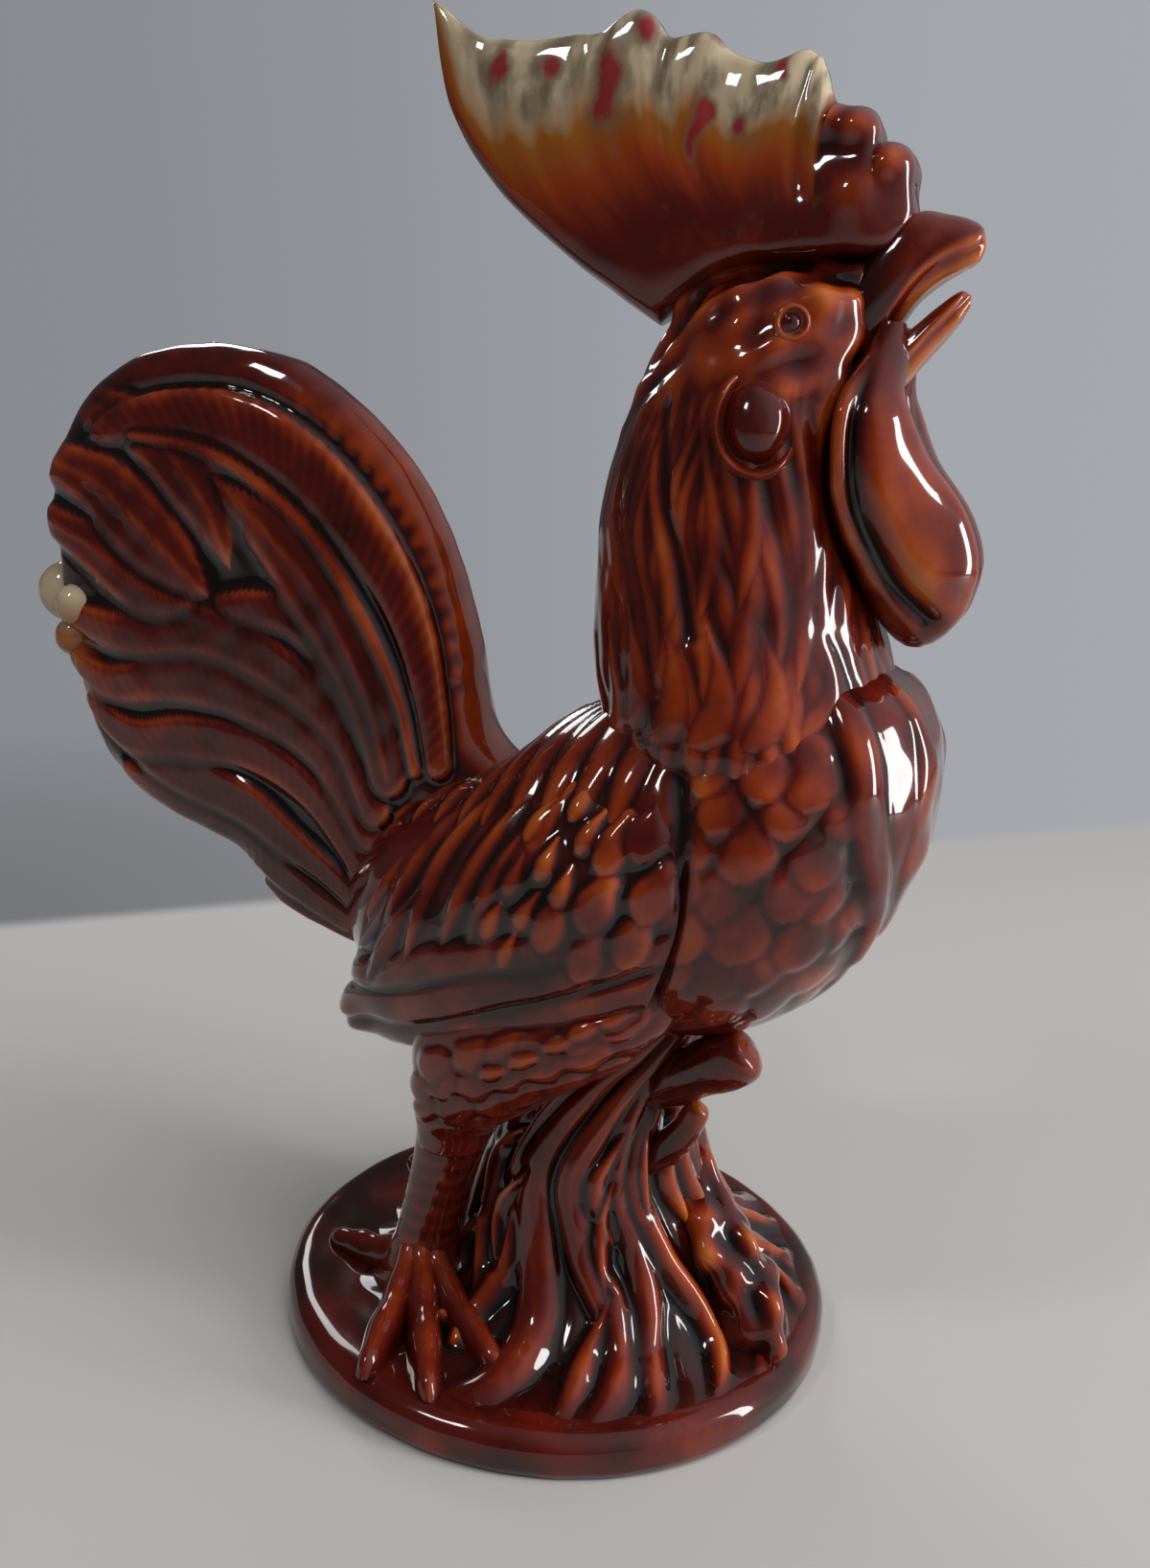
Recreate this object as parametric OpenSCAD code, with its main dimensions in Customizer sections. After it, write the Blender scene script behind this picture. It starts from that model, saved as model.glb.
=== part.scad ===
// Glazed ceramic rooster standing on a round plinth beside a tree stump.
// Origin at the centre of the plinth's foot, +X towards the beak, +Y to the rooster's left, +Z up.

/* [Plinth] */
// Diameter of the round plinth
base_d = 124; // [118:1:130]
// Height of the plinth's top above the table
base_h = 9; // [8:0.5:10]
// Width of the bare foot ring that the figure stands on
foot_ring_w = 8; // [6:1:12]
// Depth of the hollow inside the foot ring
foot_recess = 2.5; // [1.5:0.5:4]
// Diameter of the hole that drains the slip and vents the casting
drain_d = 12; // [8:1:16]

/* [Body] */
// Greatest width of the egg-shaped body
body_w = 78; // [72:1:82]
// Roundness of the body's cross-section, 2 is an ellipse
body_round = 2.3; // [2:0.1:2.8]
// How far a wing stands out from the body
wing_t = 4.5; // [3.5:0.5:6]
// Height of the ridges between the wing's long feathers
wing_ridge = 1.6; // [0:0.2:2]

/* [Neck and head] */
// Width of the hackle cape where it lies on the shoulders
cape_w = 71; // [66:1:74]
// Number of broad locks around the hackle cape
hackle_locks = 12; // [8:1:16]
// Depth of the grooves between the locks
hackle_depth = 1.3; // [0:0.1:2]
// Diameter of an eye
eye_d = 7; // [6:0.5:9]
// Length of an ear lobe, top to bottom
lobe_len = 21; // [19:1:25]

/* [Comb] */
// Thickness of the comb where it grows from the skull
comb_root_t = 19; // [14:1:24]
// Thickness of the comb along its scalloped top
comb_edge_t = 6.5; // [5:0.5:9]
// Number of flutes that run up the comb
comb_flutes = 7; // [4:1:9]
// Depth of a flute, as a share of the comb's thickness
comb_flute_depth = 0.22; // [0:0.02:0.3]

/* [Tail] */
// Thickness of the tail at its root
tail_t = 24; // [18:1:28]
// Height of a tail feather above the grooves beside it
tail_ridge = 2.4; // [0:0.2:3]

/* [Legs] */
// Diameter of a shank between its scutes
shank_d = 13; // [11:0.5:15]
// Number of ring scutes up a shank
shank_scutes = 7; // [4:1:9]
// Width of a toe at its root
toe_w = 11.5; // [9:0.5:13]

/* [Stump] */
// Number of bark ridges around the stump
bark_ridges = 11; // [7:1:13]
// Depth of the bark's furrows
bark_depth = 1.6; // [0:0.2:2.4]
// Diameter of the sawn branch under the breast
branch_d = 12; // [10:1:14]

/* [Hidden] */

glaze = [0.36, 0.12, 0.06];
amber = [0.62, 0.30, 0.10];
cream = [0.83, 0.75, 0.55];

base_r = base_d / 2;
round_fn = 64;
// Half thickness left along the sharp edge of a fin
fin_edge = 0.6;

// Body cross-sections along X: [x, underside z, top z, half width]
body_rows = [for (r = [
    [-56, 86, 92, 0.06], [-50, 77, 103, 0.38], [-38, 70, 115, 0.68], [-16, 68, 127, 0.92],
    [0, 70, 140, 0.98], [20, 73, 148, 1.00], [41, 78, 154, 0.95], [55, 89, 155, 0.79],
    [64, 103, 151, 0.55], [69.5, 117, 144, 0.32], [71.5, 127, 136, 0.08]])
    [r[0], r[1], r[2], r[3] * body_w / 2]];

// Neck and head cross-sections up Z: [z, back x, front x, half width]
neck_rows = [for (r = [
    [128, 12.5, 54.5, 0.70], [136, 6, 60.5, 0.90], [143, 4, 60.5, 0.92], [152, 1, 60, 0.91],
    [166, 0, 56, 0.79], [182, 0, 53, 0.69], [200, 4, 52, 0.61], [212, 9, 52, 0.55], [218, 11, 52, 0.50],
    [222, 13, 51.5, 0.42], [225, 16, 50.5, 0.32], [227.5, 21, 48, 0.20], [229, 28, 43, 0.07]])
    [r[0], r[1], r[2], r[3] * cape_w / 2]];

// Hollow round the face, under the comb and behind the beak, as [x, z] points
face_hollow = [
    [14, 215], [17, 221], [22, 224.5], [30, 226.5], [41, 226.5], [48.5, 224], [51, 217], [50, 210]];
face_hollow_r = 2.2;

// Stump cross-sections up Z: [z, back x, front x, half width]
stump_rows = [
    [base_h, -46, 57, 55.5], [base_h + 1, -39, 55, 51], [base_h + 2.5, -31, 51, 45.5], [14, -24, 46, 39],
    [20, -20.5, 42, 33], [30, -17.5, 36, 28], [45, -12.5, 30, 25], [60, -3, 26, 22], [74, 7, 29, 21],
    [92, 16, 36, 19]];
// Angle that the bark sweeps round by towards the top of the stump
bark_sweep = 66;
// Drain hole: how far in front of the plinth's middle it lies, and how far up the stump it runs as a vent
drain_x = base_r / 4;
vent_h = 30;

// Right thigh cross-sections up Z: [z, centre x, distance of its centre from the middle, x radius, y radius]
hock_z = 46;
thigh_rows = [
    [hock_z, -17, 25, 7.5, 7.5], [54, -15, 26, 10, 9], [64, -9, 28, 16, 11],
    [74, -2, 29, 22, 12], [84, 6, 28, 24, 12], [94, 11, 25, 22, 10]];

// Shank: foot of its axis, height of the foot below it, and its ring scutes
foot_h = 12.5;
shank_foot = [-25, -23, base_h];
shank_lean = [0, atan(8 / (hock_z - base_h)), 0];
scute_r = 3;
scute_h = 0.8;

// Ends of the three front toes and of the hind toe
toe_ends = [[-20, -58], [-5, -58], [4, -45]];
spur_end = [-50, -19];

// Beak cross-sections along X: [x, underside z, top z, half width]
upper_beak_rows = [
    [44, 208, 222, 6], [48, 209.5, 231, 7.6], [52, 214, 235.2, 7.6], [56, 220.5, 236.6, 6.6],
    [60, 224.5, 236, 5.4], [64, 226.8, 235.2, 4], [66.4, 228.2, 233.8, 2], [67.2, 230, 231.4, 0.5]];
lower_beak_rows = [
    [45, 198, 212, 8], [52, 202.6, 213.6, 7], [56, 207.2, 216.4, 6], [60, 212.4, 220.2, 4.8],
    [64, 217.4, 223.2, 3], [65.8, 220.4, 222.6, 0.6]];

// Right wattle cross-sections up Z: [z, back x, front x, half width]
wattle_rows = [
    [159.5, 62, 65.5, 1.5], [160.6, 60, 67.6, 3.5], [163, 57.5, 69.8, 5.4], [168, 54.5, 71.8, 7],
    [176, 51.5, 72.6, 8], [184, 48.5, 69.5, 7.5], [194, 47, 61.5, 6.5], [204, 47.5, 57, 5.5],
    [211, 49, 57, 5], [217, 50.5, 55.5, 3]];
// Distance of a wattle from the middle, and how much further out it lies where it hugs the neck
wattle_y = 4;
wattle_hug = 11;

// Side-view outlines as [x, z] points, each edge run from front to rear or from root to rim
comb_root = [[52, 229], [38, 227.5], [22, 225], [8, 216]];
comb_top = [
    [53, 241], [51.5, 245.4], [46.5, 247.4], [44.8, 252.4], [38.4, 253.8], [36.4, 260.8], [33, 264],
    [24, 261.8], [14, 267], [7, 267.2], [0, 271.6], [-8, 269], [-18, 267.6], [-30, 268.4], [-44, 275.6]];
comb_front = [[52, 229], [55, 235], [53, 241]];
comb_back = [[8, 216], [-10, 227], [-28, 241], [-39.5, 257], [-44, 275.6]];
// Round lobes on the front of the comb: [x, z, radius]
comb_lobes = [[37, 250.5, 3.2], [43, 249, 3.2], [49.5, 243, 3.4], [44, 238, 6]];
comb_lobe_h = 2.6;

tail_root = [[-44, 80], [-34, 92], [-22, 106], [-10, 122]];
tail_rim = [[-10, 122], [-23, 131], [-28.5, 152], [-37, 174], [-50, 191], [-72, 206], [-96, 210]];
tail_tip = [[-145, 149], [-136, 160], [-140.5, 177], [-132.5, 194.5], [-116, 206], [-96, 210]];
tail_belly = [
    [-44, 80], [-60, 79], [-76, 87], [-84, 95], [-106, 101], [-124, 112], [-133, 131], [-143, 140],
    [-145, 149]];

// Edges of the tail's feathers as shares of its height, from the underside to the rim, at five places from
// the root to the tip
tail_edges = [
    [0.12, 0.25, 0.36, 0.47, 0.56, 0.63, 0.69, 0.71, 0.77, 0.88],
    [0.07, 0.20, 0.34, 0.465, 0.555, 0.635, 0.71, 0.725, 0.785, 0.915],
    [0.03, 0.13, 0.235, 0.36, 0.485, 0.60, 0.67, 0.69, 0.795, 0.925],
    [0.015, 0.035, 0.06, 0.095, 0.17, 0.32, 0.455, 0.575, 0.72, 0.895],
    [0.02, 0.04, 0.06, 0.085, 0.12, 0.23, 0.40, 0.54, 0.68, 0.86]];
// Width, as a share of the tail's height, at which a feather rises to its full height
feather_full = 0.08;
// Beads where the tail's long feathers end at its tip: [x, z, radius] and height
tail_beads = [[-136.5, 152.5, 5], [-131.5, 146.5, 4.5]];
tail_bead_h = 3;

wing_front = [[27, 90], [32, 108], [30, 122], [24, 133]];
wing_rear = [[-45, 62], [-47, 70], [-42, 80], [-40, 94]];
wing_low = [[27, 90], [10, 81], [-8, 74], [-24, 67], [-36, 61], [-45, 62]];
wing_top = [[24, 133], [8, 132], [-10, 126], [-28, 112], [-40, 94]];
// Wing: how far its edges stand off the body, how deep it is set in, how far it hangs below the body's curve
wing_lip = 2;
wing_depth = 9;
wing_drop = 8;
// Knob at the wing's rear end: [x, z, radius] and height
wing_knob = [-44, 68, 5];
wing_knob_h = 3;

// Power that keeps the sign of its base
function signed_pow(v, e) = sign(v) * pow(abs(v), e);

// Smooth step from 0 at low to 1 at high
function ease(low, high, x) = let (t = max(0, min(1, (x - low) / (high - low)))) t * t * (3 - 2 * t);

// Round swelling of a height of 1 about the middle of a spot [x, z, radius]
function swelling(spot, p) = exp(-(pow(p[0] - spot[0], 2) + pow(p[1] - spot[1], 2)) / pow(spot[2], 2));

// Interval of a table, sorted by its first column, that holds the value s
function interval(rows, s, i = 0) = i >= len(rows) - 2 || s < rows[i + 1][0] ? i : interval(rows, s, i + 1);

// Slope of a table at row i, from its neighbours
function slope(rows, i) =
    let (a = rows[max(i - 1, 0)], b = rows[min(i + 1, len(rows) - 1)])
    (b - a) / (b[0] - a[0]);

// Smooth row of a table at the value s of its first column
function row_at(rows, s) =
    let (i = interval(rows, s), a = rows[i], b = rows[i + 1], h = b[0] - a[0], f = (s - a[0]) / h)
    a * (1 + 2 * f) * (1 - f) * (1 - f) + slope(rows, i) * h * f * (1 - f) * (1 - f)
    + b * f * f * (3 - 2 * f) + slope(rows, i + 1) * h * f * f * (f - 1);

// Point at share t of the smooth curve through a list of points
function curve(points, t) =
    let (n = len(points) - 1, i = min(floor(t * n), n - 1), f = t * n - i,
         a = points[max(i - 1, 0)], b = points[i], c = points[i + 1], d = points[min(i + 2, n)])
    (2 * b + (c - a) * f + (2 * a - 5 * b + 4 * c - d) * f * f + (3 * b - a - 3 * c + d) * f * f * f) / 2;

// Point (u, v) of the patch between two edges run along u and two run along v
function patch(low, high, near, far, u, v) =
    (1 - v) * curve(low, u) + v * curve(high, u) + (1 - u) * curve(near, v) + u * curve(far, v)
    - (1 - u) * (1 - v) * low[0] - u * (1 - v) * low[len(low) - 1]
    - (1 - u) * v * high[0] - u * v * high[len(high) - 1];

// Shares from 0 to 1, closer together near both ends
function eased(n) = [for (i = [0 : n]) (1 - cos(180 * i / n)) / 2];

// Values of a table's first column, closer together near both ends
function eased_keys(rows, n) =
    let (first = rows[0][0], last = rows[len(rows) - 1][0])
    [for (t = eased(n)) first + (last - first) * t];

// Half width of a body grown by grow and let down by drop, at the side-view point (x, z)
function side_y(x, z, grow, drop) =
    let (r = row_at(body_rows, x), top = r[2] + grow, low = r[1] - grow - drop,
         s = min(abs(2 * z - top - low) / (top - low), 0.97))
    (r[3] + grow) * pow(1 - pow(s, body_round), 1 / body_round);

// Half width of the neck at the side-view point (x, z)
function neck_y(x, z) =
    let (r = row_at(neck_rows, z), s = (2 * x - r[1] - r[2]) / (r[2] - r[1]))
    r[3] * sqrt(max(0, 1 - s * s));

// Closed skin through rings of equal length that turn anticlockwise about the way they run
module skin(rings) {
    n = len(rings[0]);
    last = len(rings) - 1;
    sides = [for (i = [0 : last - 1]) for (j = [0 : n - 1])
        let (k = (j + 1) % n)
        each [[i * n + j, i * n + n + j, i * n + k], [i * n + k, i * n + n + j, i * n + n + k]]];
    caps = [for (i = [0 : n / 2 - 2])
        let (k = n - 1 - i)
        each [[i, i + 1, k], [i + 1, k - 1, k], [last * n + i, last * n + k, last * n + i + 1],
              [last * n + i + 1, last * n + k, last * n + k - 1]]];
    polyhedron([for (ring = rings) each ring], concat(sides, caps), convexity = 6);
}

// Keeps a modelled clay surface as one skin of facets at its own size
module as_clay() {
    resize([0, 0, 0]) children();
}

// Loft along X through rows of [x, underside z, top z, half width]
module loft_x(rows, steps, points, round) {
    skin([for (x = eased_keys(rows, steps))
        let (r = row_at(rows, x))
        [for (j = [0 : points - 1])
            let (a = 360 * (j + 0.5) / points)
            [x, r[3] * signed_pow(cos(a), 2 / round),
             (r[1] + r[2]) / 2 + (r[2] - r[1]) / 2 * signed_pow(sin(a), 2 / round)]]]);
}

// Fin in the plane y = 0: rows of [u, v, half thickness] on a patch, built out to both sides
module fin(low, high, near, far, rows) {
    last = len(rows[0]) - 1;
    skin([for (row = rows)
        let (mid = [for (p = row) patch(low, high, near, far, p[0], p[1])])
        concat([for (j = [0 : last]) [mid[j][0], -row[j][2], mid[j][1]]],
               [for (j = [last : -1 : 0]) [mid[j][0], row[j][2], mid[j][1]]])]);
}

module to_left() {
    mirror([0, 1, 0]) children();
}

// Plinth: a turned disc with a rounded rim, a foot ring, a shallow hollow inside it and a drain hole
module base_plinth() {
    rim = base_h / 2;
    foot_bevel = base_h / 5;
    inner_r = base_r - rim - foot_ring_w;
    color(glaze)
    difference() {
        rotate_extrude($fn = round_fn)
        union() {
            square([base_r - rim, base_h]);
            square([base_r - foot_bevel, base_h - rim]);
            translate([0, foot_bevel])
            square([base_r, base_h - rim - foot_bevel]);
            translate([base_r - rim, base_h - rim])
            circle(r = rim, $fn = round_fn);
            translate([base_r - foot_bevel, foot_bevel])
            circle(r = foot_bevel, $fn = round_fn);
        }
        translate([0, 0, -1])
        cylinder(r = inner_r, h = foot_recess + 1, $fn = round_fn);
        translate([drain_x, 0, -1])
        cylinder(d = drain_d, h = base_h + 2, $fn = round_fn);
    }
}

// Egg of the body, pointed at the rump and full at the breast
module body_form() {
    loft_x(body_rows, 20, 28, body_round);
}

module body() {
    color(glaze)
    body_form();
}

// Neck and head as one tapering cape whose locks wave and deepen towards the hem
module neck_form() {
    points = 4 * hackle_locks;
    skin([for (z = eased_keys(neck_rows, 15))
        let (r = row_at(neck_rows, z), depth = hackle_depth * ease(205, 160, z), sway = 5 * sin(8 * z))
        [for (j = [0 : points - 1])
            let (a = 360 * j / points, lock = depth * cos(hackle_locks * a), b = a + sway * sin(a))
            [(r[1] + r[2]) / 2 + ((r[2] - r[1]) / 2 + lock) * cos(b), (r[3] + lock) * sin(b), z]]]);
}

module neck() {
    color(glaze)
    as_clay()
    difference() {
        neck_form();
        body_form();
        for (side = [0, 1])
            mirror([0, side, 0])
            bough([for (p = face_hollow) [p[0], -neck_y(p[0], p[1]), p[1], face_hollow_r]], 6, 9);
    }
}

// Wing: a shell over the body's side, ridged by its long feathers, low in front and proud below
module wing_form() {
    us = eased(10);
    vs = eased(12);
    last = len(vs) - 1;
    skin([for (u = us)
        let (points = [for (v = vs) patch(wing_low, wing_top, wing_front, wing_rear, u, v)],
             outer = [for (j = [0 : last])
                let (v = vs[j], p = points[j], proud = 0.5 + 0.5 * ease(0, 0.3, u) * ease(1, 0.6, v),
                     swell = pow(16 * u * (1 - u) * v * (1 - v), 0.25),
                     ridge = wing_ridge * u * cos(360 * 3 * v))
                side_y(p[0], p[1], wing_lip * proud, wing_drop) + proud * swell * (wing_t - wing_lip + ridge)
                + wing_knob_h * swelling(wing_knob, p)])
        concat([for (j = [0 : last]) [points[j][0], -outer[j], points[j][1]]],
               [for (j = [last : -1 : 0]) [points[j][0], wing_depth - outer[j], points[j][1]]])]);
}

module right_wing() {
    color(glaze)
    as_clay()
    difference() {
        wing_form();
        body_form();
        neck_form();
    }
}

module left_wing() {
    to_left()
    right_wing();
}

// Stops across the tail at share u of its length: [share of the height, rise above the plain face]
function tail_stops(u) =
    let (edges = curve(tail_edges, u), last = len(edges) - 1, groove = -0.4 * tail_ridge)
    concat([[0, 0]],
           [for (k = [0 : last - 1])
                let (w = edges[k + 1] - edges[k], top = 0.6 * tail_ridge * min(1, w / feather_full))
                each [[edges[k], groove], [edges[k] + 0.3 * w, top], [edges[k] + 0.7 * w, top]]],
           [[edges[last], groove], [(1 + edges[last]) / 2, 0], [1, 0]]);

// Tail: a fan between its front rim and its underside, thickest at the root, with long feathers that sweep
// round from the root to the underside and short ones that lie in from the tip
module tail_fan() {
    rows = [for (u = eased(13))
        let (tip = sqrt(1 - pow(u, 9)), shown = ease(0.03, 0.15, u) * ease(1, 0.95, u))
        [for (stop = tail_stops(u))
            let (v = stop[0], edge = sqrt(1 - pow(abs(2 * v - 1), 5)),
                 plain = tail_t / 2 * edge * (0.3 + 0.7 * tip) * (1 - 0.3 * u),
                 p = patch(tail_belly, tail_rim, tail_root, tail_tip, u, v),
                 beads = [for (spot = tail_beads) swelling(spot, p)])
            [u, v, fin_edge + plain + stop[1] * shown * ease(0, 0.07, v) + tail_bead_h * max(beads)]]];
    color(glaze)
    as_clay()
    difference() {
        fin(tail_belly, tail_rim, tail_root, tail_tip, rows);
        body_form();
    }
}

// Comb: a crown swept back over the neck, with round lobes in front, fluted and scalloped along its top
module comb() {
    steps = 34;
    rows = [for (i = [0 : steps])
        let (u = i / steps, ends = sqrt(1 - pow(u, 12)) * sqrt(1 - pow(1 - u, 12)))
        [for (v = eased(6))
            let (p = patch(comb_root, comb_top, comb_front, comb_back, u, v),
                 edge = sqrt(1 - pow(abs(2 * v - 1), 8)),
                 flute = 1 - comb_flute_depth * v * (1 + cos(360 * comb_flutes * u)) / 2,
                 plain = (comb_root_t * (1 - v) + comb_edge_t * v) / 2 * (1 + 0.5 * v * pow(1 - u, 3)),
                 lobes = [for (spot = comb_lobes) swelling(spot, p)])
            [u, v, fin_edge + plain * edge * ends * flute + comb_lobe_h * max(lobes)]]];
    color(cream)
    as_clay()
    difference() {
        fin(comb_root, comb_top, comb_front, comb_back, rows);
        neck_form();
    }
}

module upper_beak_form() {
    loft_x(upper_beak_rows, 8, 10, 2);
}

module upper_beak() {
    color(amber)
    as_clay()
    difference() {
        upper_beak_form();
        neck_form();
        comb();
    }
}

module lower_beak_form() {
    loft_x(lower_beak_rows, 7, 10, 2);
}

module lower_beak() {
    color(amber)
    as_clay()
    difference() {
        lower_beak_form();
        neck_form();
        upper_beak_form();
    }
}

// Wattle: a pear-shaped lappet that hugs the neck behind and is cut flat where the two meet in front
module right_wattle() {
    points = 14;
    color(glaze)
    as_clay()
    difference() {
        skin([for (z = eased_keys(wattle_rows, 11))
            let (r = row_at(wattle_rows, z), hug = wattle_hug * ease(160, 184, z) * ease(217, 199, z))
            [for (j = [0 : points - 1])
                let (a = 360 * (j + 0.5) / points, x = (r[1] + r[2]) / 2 + (r[2] - r[1]) / 2 * cos(a))
                [x, r[3] * sin(a) - wattle_y - hug * ease(68, 43, x), z]]]);
        translate([0, 0, wattle_rows[0][0] - 1])
        cube([100, 100, 100]);
        neck_form();
        upper_beak_form();
        lower_beak_form();
    }
}

module left_wattle() {
    to_left()
    right_wattle();
}

// Oval boss on the right side, turned to the front and leaning with the neck, a crescent behind and below it
module boss(place, len_x, len_z, height, crescent) {
    profile = [[1, -1], [1, -0.5], [0.92, 0], [0.8, 0.05], [0.66, 0.3], [0.45, 0.7], [0.25, 0.93], [0.06, 1]];
    points = 14;
    turn = 17;
    lean = 0.16;
    translate(place)
    rotate([0, 0, turn])
    skin([for (p = profile)
        [for (j = [0 : points - 1])
            let (a = 360 * j / points,
                 rim = exp(-pow((p[0] - 0.92) / 0.1, 2)) * ease(-0.5, 0.3, cos(a - 225)),
                 up = p[0] * len_z / 2 * sin(a))
            [p[0] * len_x / 2 * cos(a), lean * up - p[1] * height - crescent * rim, up]]]);
}

module right_ear_lobe() {
    color(amber)
    as_clay()
    difference() {
        boss([34, -21.8, 198], 0.8 * lobe_len, lobe_len, 4.5, 2.2);
        neck_form();
    }
}

module left_ear_lobe() {
    to_left()
    right_ear_lobe();
}

module right_eye() {
    color(amber)
    as_clay()
    difference() {
        translate([37.4, -16.3, 215])
        sphere(d = eye_d, $fn = 12);
        neck_form();
    }
}

module left_eye() {
    to_left()
    right_eye();
}

// Thigh: a drumstick from the belly down to the hock
module thigh_form() {
    points = 16;
    skin([for (z = eased_keys(thigh_rows, 8))
        let (r = row_at(thigh_rows, z))
        [for (j = [0 : points - 1])
            let (a = 360 * j / points)
            [r[1] + r[3] * cos(a), -r[2] + r[4] * sin(a), z]]]);
}

module right_thigh() {
    color(glaze)
    as_clay()
    difference() {
        thigh_form();
        body_form();
        wing_form();
    }
}

module left_thigh() {
    to_left()
    right_thigh();
}

// Shank: a leaning turned column ringed by scutes, cut level at the hock and at the foot
module right_shank() {
    low = base_h + foot_h;
    pitch = (hock_z - base_h + 12) / shank_scutes;
    color(glaze)
    intersection() {
        translate(shank_foot)
        rotate(shank_lean)
        translate([0, 0, -6])
        rotate_extrude($fn = round_fn)
        union() {
            square([shank_d / 2, hock_z - base_h + 12]);
            for (i = [0 : shank_scutes - 1])
                translate([shank_d / 2 + scute_h - scute_r, (i + 0.5) * pitch])
                circle(r = scute_r, $fn = 32);
        }
        translate([-60, -60, low])
        cube([80, 60, hock_z - low]);
    }
}

module left_shank() {
    to_left()
    right_shank();
}

// Toe from start to end, flat underneath, arched above and tapering to a claw
module toe(start, end, width, height) {
    way = (end - start) / norm(end - start);
    across = [-way[1], way[0]];
    points = 8;
    skin([for (t = [0, 0.3, 0.6, 0.9, 1])
        let (p = start + (end - start) * t, taper = 1 - 0.35 * t - 0.35 * pow(t, 8))
        [for (j = [0 : points - 1])
            let (a = 360 * (j + 0.5) / points, side = width / 2 * taper * cos(a),
                 rise = height * taper * (1 - 0.3 * t) * max(0, sin(a)))
            [p[0] + across[0] * side, p[1] + across[1] * side, base_h + rise]]]);
}

// Foot: three front toes splayed outwards, a hind toe and the ball that the shank stands on
module foot_form() {
    heel = [shank_foot[0], shank_foot[1]];
    for (end = toe_ends)
        toe(heel, end, toe_w, foot_h);
    toe(heel, spur_end, 0.85 * toe_w, 0.65 * foot_h);
    translate([heel[0], heel[1], base_h])
    cylinder(d1 = 2 * toe_w, d2 = shank_d + 1, h = foot_h, $fn = 20);
}

module right_foot() {
    color(glaze)
    as_clay()
    difference() {
        foot_form();
        stump_form();
    }
}

module left_foot() {
    to_left()
    right_foot();
}

// Stump: leaning, flared into a mound at the ground, with bark ridges that sweep round as they rise
module stump_form() {
    points = 4 * bark_ridges;
    skin([for (z = eased_keys(stump_rows, 11))
        let (r = row_at(stump_rows, z), sweep = bark_sweep * ease(58, 92, z),
             depth = bark_depth * ease(base_h, 16, z))
        [for (j = [0 : points - 1])
            let (a = 360 * j / points, b = a + sweep, bark = depth * cos(bark_ridges * a))
            [(r[1] + r[2]) / 2 + ((r[2] - r[1]) / 2 + bark) * cos(b), (r[3] + bark) * sin(b), z]]]);
}

module stump() {
    color(glaze)
    as_clay()
    difference() {
        stump_form();
        body_form();
        for (side = [0, 1])
            mirror([0, side, 0])
            thigh_form();
        translate([drain_x, 0, base_h - 1])
        cylinder(d = drain_d, h = vent_h + 1, $fn = 24);
    }
}

// Tapered bough through points of [x, y, z, radius], each section lying square to its run in side view
module bough(points, sides, steps) {
    path = [for (i = [0 : steps]) curve(points, i / steps)];
    skin([for (i = [0 : steps])
        let (p = path[i], run = path[min(i + 1, steps)] - path[max(i - 1, 0)],
             across = norm([run[0], run[2]]))
        [for (j = [0 : sides - 1])
            let (a = 360 * j / sides, rise = p[3] * sin(a) / across)
            [p[0] - run[2] * rise, p[1] + p[3] * cos(a), p[2] + run[0] * rise]]]);
}

// Sawn branch that props the breast
module branch_stub() {
    r = branch_d / 2;
    color(glaze)
    as_clay()
    difference() {
        bough([[18, -9, 60, r], [26, -12, 64.5, r], [33, -14.6, 69.5, r], [39, -16.6, 74, r],
               [42.2, -17.8, 76.4, 0.93 * r], [44, -18.4, 77.8, 0.6 * r]], 12, 9);
        stump_form();
        body_form();
    }
}

// Broken twig on the front of the stump
module twig_knot() {
    color(amber)
    as_clay()
    difference() {
        bough([[20, -11, 50, 3.6], [26, -12.5, 52.5, 3], [30.5, -13.5, 56, 2.7], [33, -14.2, 60, 2.4],
               [34.3, -14.7, 64.2, 1]], 8, 8);
        stump_form();
    }
}

// Gnarled root that runs down the front of the stump to the plinth
module front_root() {
    color(glaze)
    as_clay()
    difference() {
        bough([[22, 2, 48, 5], [29, 0, 38, 6.5], [36, -4, 29, 7.5], [43, -7, 21, 8], [49, -10, 14, 7.5],
               [52, -11.5, 9, 6]], 12, 12);
        stump_form();
        translate([-base_r, -base_r, -1])
        cube([base_d, base_d, base_h + 1]);
    }
}

base_plinth();
stump();
branch_stub();
twig_knot();
front_root();
right_foot();
left_foot();
right_shank();
left_shank();
right_thigh();
left_thigh();
body();
right_wing();
left_wing();
tail_fan();
neck();
comb();
upper_beak();
lower_beak();
right_wattle();
left_wattle();
right_ear_lobe();
left_ear_lobe();
right_eye();
left_eye();
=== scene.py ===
"""Ceramic rooster figurine: carved relief and treacle glaze over the solid model, in the same frame."""

import bpy
import numpy as np
from mathutils import Matrix


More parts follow.
